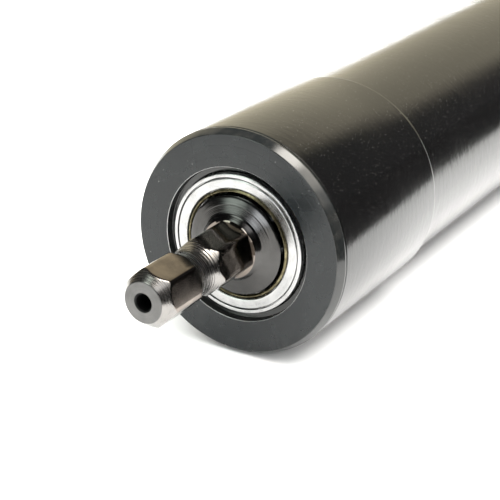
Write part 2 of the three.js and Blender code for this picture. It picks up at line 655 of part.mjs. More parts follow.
function motorShaft() {
  const pinion = sunGear(planetFront(1) + GAP, GEARBOX_END);
  const pinionRoot = (SUN_TEETH / 2 - DEDENDUM) * GEAR_MODULE;
  const shaft = turned([
    [0, GEARBOX_END - PINION_RUN_OUT], [pinionRoot, GEARBOX_END - PINION_RUN_OUT],
    [MOTOR_SHAFT_RADIUS, GEARBOX_END], [MOTOR_SHAFT_RADIUS, STATOR_FRONT - WINDING_OVERHANG],
    [ROTOR_SHAFT_RADIUS, STATOR_FRONT - WINDING_OVERHANG],
    [ROTOR_SHAFT_RADIUS, STATOR_END + WINDING_OVERHANG],
    [MOTOR_SHAFT_RADIUS, STATOR_END + WINDING_OVERHANG],
    [MOTOR_SHAFT_RADIUS, ARMATURE_FRONT], [0, ARMATURE_FRONT],
  ], MOTOR_SHAFT_SIDES);
  return joined(pinion, shaft);
}

// A bracket that carries the motor shaft's bush in the tube, with openings for air and wires.
function motorBracket(front) {
  const windows = circle(WINDOW_ORBIT, WINDOW_COUNT, 0, 0, Math.PI / WINDOW_COUNT).map(([x, z]) =>
    circle(WINDOW_RADIUS, SMALL_ROUND, x, z));
  const seat = circle(BUSH_RADIUS + GAP, MEDIUM_ROUND);
  const outline = circle(FITTED_RADIUS, MEDIUM_ROUND);
  return prism(outline, front, front + BRACKET_THICKNESS, [seat, ...windows]);
}

// Slots open towards the rotor, between teeth that end on the bore.
function statorOutline() {
  const boreRadius = ROTOR_RADIUS + AIR_GAP;
  const slotHalfAngle = SLOT_HALF_WIDTH / boreRadius;
  const bottomHalfAngle = SLOT_HALF_WIDTH / SLOT_BOTTOM_RADIUS;
  const outline = [];
  for (let slot = 0; slot < SLOT_COUNT; slot += 1) {
    const middle = slot * 2 * Math.PI / SLOT_COUNT;
    outline.push([boreRadius, middle - slotHalfAngle], [SLOT_BOTTOM_RADIUS, middle - bottomHalfAngle]);
    outline.push([SLOT_BOTTOM_RADIUS, middle + bottomHalfAngle], [boreRadius, middle + slotHalfAngle]);
    outline.push([boreRadius, middle + Math.PI / SLOT_COUNT]);
  }
  return outline.map(([radius, angle]) => [radius * Math.cos(angle), radius * Math.sin(angle)]);
}

// The rotor's laminations have a row of open notches, which the cage's bars lie in.
function rotorCore(start, end) {
  const notchHalfAngle = ROTOR_NOTCH_WIDTH / 2 / ROTOR_RADIUS;
  const floorRadius = ROTOR_RADIUS - ROTOR_NOTCH_DEPTH;
  const outline = [];
  for (let notch = 0; notch < ROTOR_BAR_COUNT; notch += 1) {
    const middle = notch * 2 * Math.PI / ROTOR_BAR_COUNT;
    outline.push([floorRadius, middle - notchHalfAngle], [floorRadius, middle + notchHalfAngle]);
    outline.push([ROTOR_RADIUS, middle + notchHalfAngle]);
    outline.push([ROTOR_RADIUS, middle + Math.PI / ROTOR_BAR_COUNT]);
    outline.push([ROTOR_RADIUS, middle + 2 * Math.PI / ROTOR_BAR_COUNT - notchHalfAngle]);
  }
  const points = outline.map(([radius, angle]) => [radius * Math.cos(angle), radius * Math.sin(angle)]);
  return prism(points, start, end, [circle(ROTOR_SHAFT_RADIUS + GAP, SMALL_ROUND)]);
}

// Two end rings joined by the bars of the squirrel cage.
function rotorCage(start, end) {
  const innerRadius = ROTOR_RADIUS - GAP - END_RING_WALL;
  const front = sleeve(innerRadius, ROTOR_RADIUS - GAP, start - END_RING_LENGTH, start - GAP);
  const rear = sleeve(innerRadius, ROTOR_RADIUS - GAP, end + GAP, end + END_RING_LENGTH);
  const halfWidth = ROTOR_NOTCH_WIDTH / 2 - GAP;
  const bars = Array.from({ length: ROTOR_BAR_COUNT }, (_, i) => {
    const bar = block(ROTOR_RADIUS - ROTOR_NOTCH_DEPTH + GAP, ROTOR_RADIUS - GAP,
      start - OVERRUN, end + OVERRUN, -halfWidth, halfWidth);
    return bar.rotateY(i * 2 * Math.PI / ROTOR_BAR_COUNT);
  });
  return joined(front, rear, ...bars);
}

// Two end turns joined by the copper that lies in the slots.
function statorWinding() {
  const innerRadius = ROTOR_RADIUS + AIR_GAP + WINDING_CLEARANCE;
  const bars = Array.from({ length: SLOT_COUNT }, (_, i) => {
    const halfWidth = SLOT_HALF_WIDTH - GAP;
    const bar = block(innerRadius + GAP, SLOT_BOTTOM_RADIUS - GAP,
      STATOR_FRONT - OVERRUN, STATOR_END + OVERRUN, -halfWidth, halfWidth);
    return bar.rotateY(i * 2 * Math.PI / SLOT_COUNT);
  });
  const front = sleeve(innerRadius, WINDING_RADIUS, STATOR_FRONT - WINDING_OVERHANG, STATOR_FRONT - GAP);
  const rear = sleeve(innerRadius, WINDING_RADIUS, STATOR_END + GAP, STATOR_END + WINDING_OVERHANG);
  return joined(front, rear, ...bars);
}

function addMotor() {
  addPiece('motor_shaft', motorShaft(), BRIGHT_STEEL);
  const rotorStart = STATOR_FRONT - CORE_OVERHANG;
  const rotorEnd = STATOR_END + CORE_OVERHANG;
  addPiece('rotor_core', rotorCore(rotorStart, rotorEnd), DARK_STEEL);
  addPiece('rotor_cage', rotorCage(rotorStart, rotorEnd), CAST_ALUMINIUM);
  addPiece('stator_core',
    prism(circle(FITTED_RADIUS, LARGE_ROUND), STATOR_FRONT, STATOR_END, [statorOutline()]), DARK_STEEL);
  addPiece('stator_winding', statorWinding(), COPPER);
  const places = { front: BRACKET_FRONT, rear: REAR_BRACKET_FRONT };
  for (const [place, front] of Object.entries(places)) {
    addPiece(`${place}_motor_bracket`, motorBracket(front), CAST_ALUMINIUM);
    addPiece(`${place}_motor_bush`,
      sleeve(MOTOR_SHAFT_RADIUS + RUNNING_GAP, BUSH_RADIUS, front, front + BRACKET_THICKNESS),
      BRASS);
  }
}

// ---- Brake -----------------------------------------------------------------------------------

function brakeSpring() {
  const start = POT_FRONT + SPRING_WIRE_RADIUS;
  const end = POT_FRONT + POT_LENGTH - POT_BASE - GAP - SPRING_WIRE_RADIUS;
  const steps = SPRING_TURNS * SPRING_STEPS;
  const points = Array.from({ length: steps + 1 }, (_, i) => {
    const angle = i * 2 * Math.PI / SPRING_STEPS;
    const place = start + (end - start) * i / steps;
    return new THREE.Vector3(SPRING_RADIUS * Math.cos(angle), place, SPRING_RADIUS * Math.sin(angle));
  });
  const wire = new THREE.Shape(circle(SPRING_WIRE_RADIUS, 6).map(([x, y]) => new THREE.Vector2(x, y)));
  const extrudePath = new THREE.CatmullRomCurve3(points);
  return closed(new THREE.ExtrudeGeometry(wire, { steps, bevelEnabled: false, extrudePath }));
}

function addBrake() {
  addPiece('brake_disc',
    sleeve(MOTOR_SHAFT_RADIUS + GAP, BRAKE_DISC_RADIUS, BRAKE_FRONT, BRAKE_FRONT + BRAKE_DISC_THICKNESS),
    DARK_STEEL);
  const armatureBack = ARMATURE_FRONT + ARMATURE_THICKNESS;
  addPiece('brake_armature',
    sleeve(MOTOR_SHAFT_RADIUS + ARMATURE_BORE_CLEARANCE, ARMATURE_RADIUS, ARMATURE_FRONT, armatureBack),
    PLAIN_STEEL);
  addPiece('brake_spring', brakeSpring(), BRIGHT_STEEL);
  const poleInner = SPRING_RADIUS + SPRING_WIRE_RADIUS + SPRING_CLEARANCE;
  const poleOuter = poleInner + POLE_WALL;
  const troughOuter = FITTED_RADIUS - POT_WALL;
  const troughEnd = POT_FRONT + POT_LENGTH - POT_BASE;
  addPiece('brake_coil',
    sleeve(poleOuter + GAP, troughOuter - GAP, POT_FRONT + COIL_INSET, troughEnd - GAP), COPPER);
  addPiece('brake_magnet_pot', turned([
    [0, troughEnd], [poleInner, troughEnd], [poleInner, POT_FRONT], [poleOuter, POT_FRONT],
    [poleOuter, troughEnd], [troughOuter, troughEnd], [troughOuter, POT_FRONT],
    [FITTED_RADIUS, POT_FRONT], [FITTED_RADIUS, POT_FRONT + POT_LENGTH], [0, POT_FRONT + POT_LENGTH],
  ], MEDIUM_ROUND), PLAIN_STEEL);
}

// ---- Capacitor -------------------------------------------------------------------------------

// A sprung sleeve that holds the capacitor in the tube, open along its top.
function capacitorSleeve() {
  const start = CAPACITOR_START + (CAPACITOR_LENGTH - SLEEVE_LENGTH) / 2;
  const ring = sleeve(CAPACITOR_RADIUS + GAP, FITTED_RADIUS, start, start + SLEEVE_LENGTH);
  return cut(ring, block(-CAPACITOR_SLOT_HALF, CAPACITOR_SLOT_HALF,
    start - OVERRUN, start + SLEEVE_LENGTH + OVERRUN, 0, FITTED_RADIUS + OVERRUN));
}

function addCapacitor() {
  const end = CAPACITOR_START + CAPACITOR_LENGTH;
  addPiece('capacitor', turned([
    [0, CAPACITOR_START], [CAPACITOR_RADIUS - CAPACITOR_ROUND, CAPACITOR_START],
    [CAPACITOR_RADIUS, CAPACITOR_START + CAPACITOR_ROUND], [CAPACITOR_RADIUS, end], [0, end],
  ], MEDIUM_ROUND), WHITE_PLASTIC);
  addPiece('capacitor_lid',
    disc(CAPACITOR_RADIUS - CAPACITOR_LID_INSET, end + GAP, end + GAP + CAPACITOR_LID_THICKNESS),
    BLACK_PLASTIC);
  addPiece('capacitor_sleeve', capacitorSleeve(), GREY_PLASTIC);
}

// ---- Limit switches --------------------------------------------------------------------------

const SIDES = { up: -1, down: 1 };
const SPINDLE_START = LIMIT_UNIT_START + LIMIT_PLATE_THICKNESS + GAP;
const NUT_START = LIMIT_UNIT_START + (LIMIT_UNIT_LENGTH - NUT_LENGTH) / 2;
const SWITCH_OFFSET = SPINDLE_OFFSET - SWITCH_INSET;
const SWITCH_START = LIMIT_UNIT_START + (LIMIT_UNIT_LENGTH - SWITCH_LENGTH) / 2;

function limitFrame() {
  const rearPlateStart = LIMIT_UNIT_END - LIMIT_PLATE_THICKNESS;
  const front = disc(FITTED_RADIUS, LIMIT_UNIT_START, LIMIT_UNIT_START + LIMIT_PLATE_THICKNESS);
  const rear = disc(FITTED_RADIUS, rearPlateStart, LIMIT_UNIT_END);
  const beam = block(-BEAM_HALF_WIDTH, BEAM_HALF_WIDTH, LIMIT_UNIT_START + OVERRUN,
    LIMIT_UNIT_END - OVERRUN, BEAM_BOTTOM, BEAM_TOP);
  const spindleHoles = Object.values(SIDES).map((side) => parallelBar(
    SPINDLE_RADIUS + GAP, rearPlateStart - OVERRUN, LIMIT_UNIT_END + OVERRUN, side * SPINDLE_OFFSET, 0));
  return cut(joined(front, rear, beam), ...spindleHoles);
}

// A spindle with a screw thread inside the limit unit and a pinion inside the crown ring.
function limitSpindle(side) {
  const x = side * SPINDLE_OFFSET;
  const threadStart = SPINDLE_START + THREAD_INSET;
  const threadEnd = LIMIT_UNIT_END - LIMIT_PLATE_THICKNESS - THREAD_PITCH / 2;
  const spindleEnd = CROWN_STEP - PINION_INSET;
  const coreRadius = SPINDLE_RADIUS - THREAD_DEPTH;
  const profile = [[0, SPINDLE_START], [coreRadius, SPINDLE_START]];
  for (let place = threadStart; place + THREAD_PITCH <= threadEnd; place += THREAD_PITCH) {
    profile.push([coreRadius, place], [SPINDLE_RADIUS, place + THREAD_PITCH / 2]);
  }
  profile.push([coreRadius, threadEnd], [coreRadius, spindleEnd], [0, spindleEnd]);
  const rod = turned(profile, THREAD_SIDES).translate(x, 0, 0);
  const direction = side > 0 ? 0 : Math.PI;
  const phase = phaseInRing(direction, CROWN_PINION_TEETH, CROWN_TEETH, 0);
  const teeth = gearOutline(CROWN_PINION_TEETH, CROWN_MODULE, phase, false, x, 0);
  return joined(rod, prism(teeth, CROWN_FRONT + PINION_INSET, spindleEnd));
}

function limitNut(side) {
  const x = side * SPINDLE_OFFSET;
  const half = NUT_SIZE / 2;
  const hole = circle(SPINDLE_RADIUS + RUNNING_GAP, SMALL_ROUND, x, 0);
  return prism(rectangle(x - half, x + half, -half, half), NUT_START, NUT_START + NUT_LENGTH, [hole]);
}

function addLimitUnit() {
  addPiece('limit_frame', limitFrame(), WHITE_PLASTIC);
  const buttonPlace = SWITCH_START + SWITCH_LENGTH * BUTTON_PLACE_SHARE;
  const wellFloor = SWITCH_TOP - BUTTON_WELL;
  for (const [name, side] of Object.entries(SIDES)) {
    const x = side * SWITCH_OFFSET;
    const left = x - SWITCH_WIDTH / 2 + side * SWITCH_SHIFT;
    const body = block(left, left + SWITCH_WIDTH, SWITCH_START, SWITCH_START + SWITCH_LENGTH,
      SWITCH_TOP - SWITCH_HEIGHT, SWITCH_TOP);
    const well = uprightBar(BUTTON_RADIUS + GAP, wellFloor, SWITCH_TOP + OVERRUN, x, buttonPlace);
    const button = uprightBar(
      BUTTON_RADIUS, wellFloor + BUTTON_CLEARANCE, SWITCH_TOP + BUTTON_REACH, x, buttonPlace);
    addPiece(`${name}_limit_spindle`, limitSpindle(side), BRIGHT_STEEL);
    addPiece(`${name}_limit_nut`, limitNut(side), YELLOW_PLASTIC);
    addPiece(`${name}_limit_switch`, cut(body, well), BLACK_PLASTIC);
    addPiece(`${name}_switch_button`, button, YELLOW_PLASTIC);
  }
}

// ---- Crown ring and head ---------------------------------------------------------------------

function crownRing() {
  const outline = circle(CROWN_RADIUS, LARGE_ROUND);
  const teeth = gearOutline(CROWN_TEETH, CROWN_MODULE, 0, true);
  const bearingBore = circle(JOURNAL_RADIUS + GAP, LARGE_ROUND);
  const end = CROWN_FRONT + CROWN_LENGTH;
  const gearPart = prism(outline, CROWN_FRONT, CROWN_STEP, [teeth]);
  const plainPart = prism(outline, CROWN_STEP - GAP, end, [bearingBore]);
  const keyways = Array.from({ length: CROWN_KEY_COUNT }, (_, i) => {
    const half = CROWN_KEY_WIDTH / 2;
    const tool = block(-half, half, CROWN_FRONT - OVERRUN, end + OVERRUN,
      CROWN_RADIUS - CROWN_KEY_DEPTH, CROWN_RADIUS + OVERRUN);
    return tool.rotateY((i + 0.5) * 2 * Math.PI / CROWN_KEY_COUNT);
  });
  return cut(joined(gearPart, plainPart), ...keyways);
}

function tubeEndBush() {
  const ring = sleeve(SPIGOT_RADIUS + GAP, FITTED_RADIUS, TUBE_END - END_BUSH_LENGTH, TUBE_END - GAP);
  const screwHoles = [-1, 1].map((side) => crossBar(
    TUBE_SCREW_RADIUS + GAP, SPIGOT_RADIUS - OVERRUN, FITTED_RADIUS + OVERRUN, TUBE_SCREW_PLACE, side));
  return cut(ring, ...screwHoles);
}

function mirroredPairs([x, z]) {
  return [[-x, z], [x, z]];
}

function headBody() {
  const spigotFront = TUBE_END - SPIGOT_LENGTH;
  const journalStart = CROWN_STEP + GAP;
  const body = turned([
    [WIRE_BORE_RADIUS, spigotFront], [SPIGOT_RADIUS, spigotFront], [SPIGOT_RADIUS, journalStart],
    [JOURNAL_RADIUS, journalStart], [JOURNAL_RADIUS, HEAD_FRONT], [HEAD_RADIUS, HEAD_FRONT],
    [HEAD_RADIUS, HEAD_BACK], [WIRE_BORE_RADIUS, HEAD_BACK], [WIRE_BORE_RADIUS, spigotFront],
  ]);
  const betweenFlats = block(-HEAD_RADIUS - OVERRUN, HEAD_RADIUS + OVERRUN,
    spigotFront - OVERRUN, HEAD_BACK + OVERRUN, -HEAD_FLAT, HEAD_FLAT);
  const pinionRadius = (CROWN_PINION_TEETH / 2 + ADDENDUM) * CROWN_MODULE;
  const pocketHalf = pinionRadius + POCKET_CLEARANCE;
  const pocketFront = CROWN_FRONT + PINION_INSET - 2 * GAP;
  const pocketBack = CROWN_STEP - PINION_INSET + 2 * GAP;
  const toolEnd = HEAD_BACK + OVERRUN;
  const tools = [];
  for (const side of [-1, 1]) {
    const edges = [side * (SPINDLE_OFFSET - pocketHalf), side * (SPIGOT_RADIUS + 2 * OVERRUN)];
    edges.sort((first, second) => first - second);
    tools.push(block(edges[0], edges[1], pocketFront, pocketBack, -pocketHalf, pocketHalf));
    tools.push(parallelBar(SPINDLE_RADIUS + GAP, spigotFront - OVERRUN, CROWN_FRONT + OVERRUN,
      side * SPINDLE_OFFSET, 0));
  }
  const adjusterWell = COVER_BACK - ADJUSTER_LENGTH - WELL_CLEARANCE;
  for (const [x, z] of mirroredPairs(ADJUSTER_PLACE)) {
    tools.push(parallelBar(ADJUSTER_RADIUS + GAP, adjusterWell, toolEnd, x, z));
  }
  const screwWell = COVER_BACK - COVER_SCREW_LENGTH - WELL_CLEARANCE;
  for (const [x, z] of mirroredPairs(COVER_SCREW_PLACE)) {
    tools.push(parallelBar(COVER_SCREW_RADIUS + GAP, screwWell, toolEnd, x, z));
  }
  const socketHalf = SOCKET_SIZE / 2;
  const glandSeat = HEAD_FLAT - GLAND_LENGTH - GAP;
  const flatEnd = HEAD_FLAT + OVERRUN;
  tools.push(block(-socketHalf, socketHalf, COVER_BACK - SOCKET_DEPTH, toolEnd, -socketHalf, socketHalf));
  tools.push(uprightBar(CABLE_HOLE_RADIUS, 0, flatEnd, 0, CABLE_HOLE_PLACE));
  tools.push(uprightBar(GLAND_RADIUS + GAP, glandSeat, flatEnd, 0, CABLE_HOLE_PLACE));
  return cut(common(body, betweenFlats), ...tools);
}

function headCover() {
  const flatAngle = Math.asin(HEAD_FLAT / HEAD_RADIUS);
  const arcPoints = { length: HEAD_ARC_STEPS + 1 };
  const outline = [0, Math.PI].flatMap((turn) => Array.from(arcPoints, (_, i) => {
    const angle = turn - flatAngle + 2 * flatAngle * i / HEAD_ARC_STEPS;
    return [HEAD_RADIUS * Math.cos(angle), HEAD_RADIUS * Math.sin(angle)];
  }));
  const socketHalf = SOCKET_SIZE / 2;
  const holes = [
    rectangle(-socketHalf, socketHalf, -socketHalf, socketHalf),
    ...mirroredPairs(ADJUSTER_PLACE).map(([x, z]) => circle(ADJUSTER_RADIUS + GAP, SMALL_ROUND, x, z)),
    ...mirroredPairs(COVER_SCREW_PLACE).map(([x, z]) =>
      circle(COVER_SCREW_RADIUS + GAP, SMALL_ROUND, x, z)),
  ];
  const counterbores = mirroredPairs(COVER_SCREW_PLACE).map(([x, z]) => parallelBar(
    COVER_SCREW_HEAD_RADIUS + GAP, COVER_BACK - COVER_SCREW_HEAD_HEIGHT - GAP, COVER_BACK + OVERRUN, x, z));
  return cut(prism(outline, COVER_FRONT, COVER_BACK, holes), ...counterbores);
}

function adjustingScrew([x, z]) {
  const start = COVER_BACK - ADJUSTER_LENGTH;
  const end = COVER_BACK - ADJUSTER_SINK;
  const rod = parallelBar(ADJUSTER_RADIUS, start, end, x, z);
  const key = prism(hexagon(ADJUSTER_ACROSS_FLATS, 0), end - ADJUSTER_SOCKET_DEPTH, end + OVERRUN);
  const socket = key.translate(x, 0, z);
  return cut(rod, socket);
}

function coverScrew([x, z]) {
  const headEnd = COVER_BACK - SCREW_SINK;
  const headStart = headEnd - COVER_SCREW_HEAD_HEIGHT + SCREW_SINK;
  const shank = parallelBar(COVER_SCREW_RADIUS, COVER_BACK - COVER_SCREW_LENGTH, headStart + GAP, x, z);
  const head = parallelBar(COVER_SCREW_HEAD_RADIUS, headStart, headEnd, x, z);
  const slotSizes = [
    [SCREW_CROSS_REACH, SCREW_CROSS_HALF_WIDTH],
    [SCREW_CROSS_HALF_WIDTH, SCREW_CROSS_REACH],
  ];
  const crossSlots = slotSizes.map(([across, up]) => block(x - across, x + across,
    headEnd - SCREW_CROSS_DEPTH, headEnd + OVERRUN, z - up, z + up));
  return cut(joined(shank, head), ...crossSlots);
}

function tubeScrew(side) {
  const headInner = TUBE_RADIUS + GAP / 2;
  const headOuter = headInner + TUBE_SCREW_HEAD_HEIGHT;
  const shank = crossBar(TUBE_SCREW_RADIUS, SPIGOT_RADIUS + GAP, headInner + GAP, TUBE_SCREW_PLACE, side);
  const head = crossBar(TUBE_SCREW_HEAD_RADIUS, headInner, headOuter, TUBE_SCREW_PLACE, side);
  return joined(shank, head);
}

function cableGland() {
  const bottom = HEAD_FLAT - GLAND_LENGTH;
  const ring = uprightBar(GLAND_RADIUS, bottom, HEAD_FLAT - SCREW_SINK, 0, CABLE_HOLE_PLACE, MEDIUM_ROUND);
  return cut(ring, uprightBar(CABLE_HOLE_RADIUS, bottom - OVERRUN, HEAD_FLAT + OVERRUN,
    0, CABLE_HOLE_PLACE));
}

function addHead() {
  addPiece('crown_ring', crownRing(), GREY_PLASTIC);
  addPiece('tube_end_bush', tubeEndBush(), GREY_PLASTIC);
  addPiece('head_body', headBody(), BLACK_PLASTIC);
  addPiece('head_cover', headCover(), BLACK_PLASTIC);
  addPiece('cable_gland', cableGland(), BLACK_RUBBER);
  const adjusterFinishes = [WHITE_PLASTIC, YELLOW_PLASTIC];
  mirroredPairs(ADJUSTER_PLACE).forEach((place, i) => {
    addPiece(['up_adjusting_screw', 'down_adjusting_screw'][i], adjustingScrew(place), adjusterFinishes[i]);
  });
  mirroredPairs(COVER_SCREW_PLACE).forEach((place, i) => {
    addPiece(['left_cover_screw', 'right_cover_screw'][i], coverScrew(place), BRIGHT_STEEL);
  });
  addPiece('left_tube_screw', tubeScrew(-1), BRIGHT_STEEL);
  addPiece('right_tube_screw', tubeScrew(1), BRIGHT_STEEL);
}

addPiece('housing_tube', housingTube(), BLACK_PAINT);
addPiece('front_cap', frontCap(), CHARCOAL_METAL);
addBearing();
addPiece('output_shaft', outputShaft(), DARK_STEEL);
addPiece('shaft_circlip', shaftCirclip(), BRIGHT_STEEL);
addGearbox();
addMotor();
addBrake();
addCapacitor();
addLimitUnit();
addHead();

export default group;
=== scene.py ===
# The looks of a tubular roller shutter motor, built around its CAD frame.
#
# Shapes are laid out in millimetres around the motor's axis: across (+X), along (backwards from the
# front cap's face, +Y) and up (+Z). The frame gives the sizes and places of the CAD pieces, and what
# is written here as a number is detail that the CAD model leaves out.

import math

import bmesh
import bpy
from mathutils import Matrix, Vector


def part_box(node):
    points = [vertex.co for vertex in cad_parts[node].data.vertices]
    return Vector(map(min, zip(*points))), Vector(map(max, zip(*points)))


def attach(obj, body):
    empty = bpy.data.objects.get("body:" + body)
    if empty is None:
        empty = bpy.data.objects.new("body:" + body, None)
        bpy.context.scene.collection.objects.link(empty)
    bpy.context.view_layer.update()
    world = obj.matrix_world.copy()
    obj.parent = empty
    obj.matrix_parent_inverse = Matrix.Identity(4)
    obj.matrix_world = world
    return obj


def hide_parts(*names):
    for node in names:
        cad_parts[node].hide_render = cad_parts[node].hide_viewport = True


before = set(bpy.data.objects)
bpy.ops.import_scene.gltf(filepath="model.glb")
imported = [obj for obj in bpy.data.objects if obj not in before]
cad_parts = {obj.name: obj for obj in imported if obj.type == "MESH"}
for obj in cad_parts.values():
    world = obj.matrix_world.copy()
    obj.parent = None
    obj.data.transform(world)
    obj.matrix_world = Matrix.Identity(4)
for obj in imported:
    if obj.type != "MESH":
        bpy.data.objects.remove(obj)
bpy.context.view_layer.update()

MM = 0.001
TAU = 2 * math.pi

cap_low, cap_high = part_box("front_cap")
FACE = cap_low.y  # the front cap's face
AXIS_HEIGHT = (cap_low.z + cap_high.z) / 2
CAP_RADIUS = (cap_high.x - cap_low.x) / 2 / MM
AXIS_POINT = Vector((0, FACE, AXIS_HEIGHT))
SEGMENTS = 256  # around the large turned pieces
SMALL_SEGMENTS = 64


class Place:
    """Where a CAD node lies, in millimetres from the axis and the front cap's face."""

    def __init__(self, node):
        low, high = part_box(node)
        self.left, self.start, self.bottom = (low - AXIS_POINT) / MM
        self.right, self.end, self.top = (high - AXIS_POINT) / MM
        self.radius = (self.right - self.left) / 2
        self.across = (self.left + self.right) / 2
        self.height = (self.bottom + self.top) / 2
        self.length = self.end - self.start
        self.middle = (self.start + self.end) / 2


def in_frame(across, along, up):
    return AXIS_POINT + Vector((across, along, up)) * MM


# ---- Building meshes --------------------------------------------------------------------------

def make_piece(name, points, faces, finishes, face_finishes=None):
    """A mesh object from points in millimetres. face_finishes says which finish each face takes."""
    mesh = bpy.data.meshes.new(name)
    mesh.from_pydata([in_frame(*point) for point in points], [], faces)
    for finish in finishes:
        mesh.materials.append(finish)
    if face_finishes:
        mesh.polygons.foreach_set("material_index", face_finishes)
    builder = bmesh.new()
    builder.from_mesh(mesh)
    bmesh.ops.recalc_face_normals(builder, faces=builder.faces)
    builder.to_mesh(mesh)
    builder.free()
    piece = bpy.data.objects.new(name, mesh)
    bpy.context.scene.collection.objects.link(piece)
    return piece


def smooth(piece, angle=32):
    mesh = piece.data
    mesh.polygons.foreach_set("use_smooth", [True] * len(mesh.polygons))
    mesh.set_sharp_from_angle(angle=math.radians(angle))
    return piece


def settle(piece):
    """Turns a piece's modifiers into its own mesh."""
    graph = bpy.context.evaluated_depsgraph_get()
    graph.update()
    made = bpy.data.meshes.new_from_object(piece.evaluated_get(graph))
    plain = piece.data
    piece.modifiers.clear()
    piece.data = made
    bpy.data.meshes.remove(plain)
    return piece


def cut(piece, *tools):
    for tool in tools:
        boolean = piece.modifiers.new("cut", "BOOLEAN")
        boolean.operation = "DIFFERENCE"
        boolean.solver = "EXACT"
        boolean.object = tool
        settle(piece)
        bpy.data.objects.remove(tool)
    return piece


def with_shell(piece, other):
    """Adds another piece's closed surface to this one's mesh."""
    builder = bmesh.new()
    builder.from_mesh(piece.data)
    builder.from_mesh(other.data)
    builder.to_mesh(piece.data)
    builder.free()
    bpy.data.objects.remove(other)
    return piece


def soften(piece, width, angle=40, segments=3):
    bevel = piece.modifiers.new("edges", "BEVEL")
    bevel.width = width * MM
    bevel.segments = segments
    bevel.limit_method = "ANGLE"
    bevel.angle_limit = math.radians(angle)
    return settle(piece)


def rounded(corners, steps=4):
    """A closed profile of (radius, place) points from (radius, place, rounding) corners."""
    profile = []
    for i, (radius, place, rounding) in enumerate(corners):
        corner = Vector((radius, place))
        if not rounding:
            profile.append(tuple(corner))
            continue
        before = Vector(corners[i - 1][:2]) - corner
        after = Vector(corners[(i + 1) % len(corners)][:2]) - corner
        reach = min(rounding, before.length * 0.45, after.length * 0.45)
        first = corner + before.normalized() * reach
        last = corner + after.normalized() * reach
        for step in range(steps + 1):
            t = step / steps
            point = first * (1 - t) ** 2 + corner * 2 * t * (1 - t) + last * t ** 2
            profile.append(tuple(point))
    return profile


def turned(name, profile, finishes, segments=SEGMENTS, outline=None, finish_of=None):
    """A body turned around the axis from a closed (radius, place) profile.

    outline(angle, radius, place) may pull the surface in from the circle. finish_of(angle, radius,
    place) gives a face's finish by its middle. A point of the profile on the axis is one vertex.
    """
    points = []
    rings = []
    for radius, place in profile:
        if radius < 1e-6:
            rings.append([len(points)] * segments)
            points.append((0, place, 0))
            continue
        rings.append(range(len(points), len(points) + segments))
        for step in range(segments):
            angle = TAU * step / segments
            reach = outline(angle, radius, place) if outline else radius
            points.append((reach * math.sin(angle), place, reach * math.cos(angle)))
    faces = []
    face_finishes = []
    for i, ring in enumerate(rings):
        other = rings[(i + 1) % len(rings)]
        middle_radius = (profile[i][0] + profile[(i + 1) % len(profile)][0]) / 2
        middle_place = (profile[i][1] + profile[(i + 1) % len(profile)][1]) / 2
        for step in range(segments):
            turn = (step + 1) % segments
            corners = (ring[step], ring[turn], other[turn], other[step])
            face = tuple(dict.fromkeys(corners))
            if len(face) < 3:
                continue
            faces.append(face)
            if finish_of:
                angle = TAU * (step + 0.5) / segments
                face_finishes.append(finish_of(angle, middle_radius, middle_place))
    return smooth(make_piece(name, points, faces, finishes, face_finishes))


def prism(name, outline, start, end, finishes=()):
    """A body with the same (across, up) outline from start to end."""
    count = len(outline)
    points = [(x, place, z) for place in (start, end) for x, z in outline]
    sides = [(i, (i + 1) % count, (i + 1) % count + count, i + count) for i in range(count)]
    ends = [tuple(range(count)), tuple(range(count, 2 * count))]
    return make_piece(name, points, [*ends, *sides], finishes)


def place_on(piece, point, turn):
    """Turns a piece about the middle of the cap's face, and moves that middle to the point."""
    piece.data.transform(Matrix.Translation(point) @ turn @ Matrix.Translation(-AXIS_POINT))


def shift(piece, across=0, along=0, up=0):
    piece.data.transform(Matrix.Translation((across * MM, along * MM, up * MM)))
    return piece


def bar(profile, across, up, turn=None, finishes=(), name="tool", segments=SMALL_SEGMENTS):
    """A turned body whose own axis lies at (across, up), or is turned by a matrix first."""
    piece = turned(name, profile, finishes, segments)
    place_on(piece, in_frame(across, 0, up), turn or Matrix())
    return piece


def circle(radius, sides, across=0, up=0, first=0):
    angles = [first + TAU * i / sides for i in range(sides)]
    return [(across + radius * math.cos(a), up + radius * math.sin(a)) for a in angles]


def rounded_rectangle(half_width, half_height, rounding, steps=6):
    outline = []
    for quarter in range(4):
        sign_x = 1 if quarter in (0, 3) else -1
        sign_z = 1 if quarter in (0, 1) else -1
        for step in range(steps + 1):
            angle = (quarter + step / steps) * math.pi / 2
            x = sign_x * (half_width - rounding) + rounding * math.cos(angle)
            z = sign_z * (half_height - rounding) + rounding * math.sin(angle)
            outline.append((x, z))
    return outline


def soft_minimum(a, b, blend):
    """The smaller of a and b, with the corner between them rounded over blend."""
    share = max(blend - abs(a - b), 0) / blend
    return min(a, b) - share * share * blend / 4


def stand_for(piece, node, body):
    """Shows the piece in place of the CAD node, riding on the node's body."""
    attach(piece, body)
    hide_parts(node)
    return piece


# ---- Finishes ---------------------------------------------------------------------------------

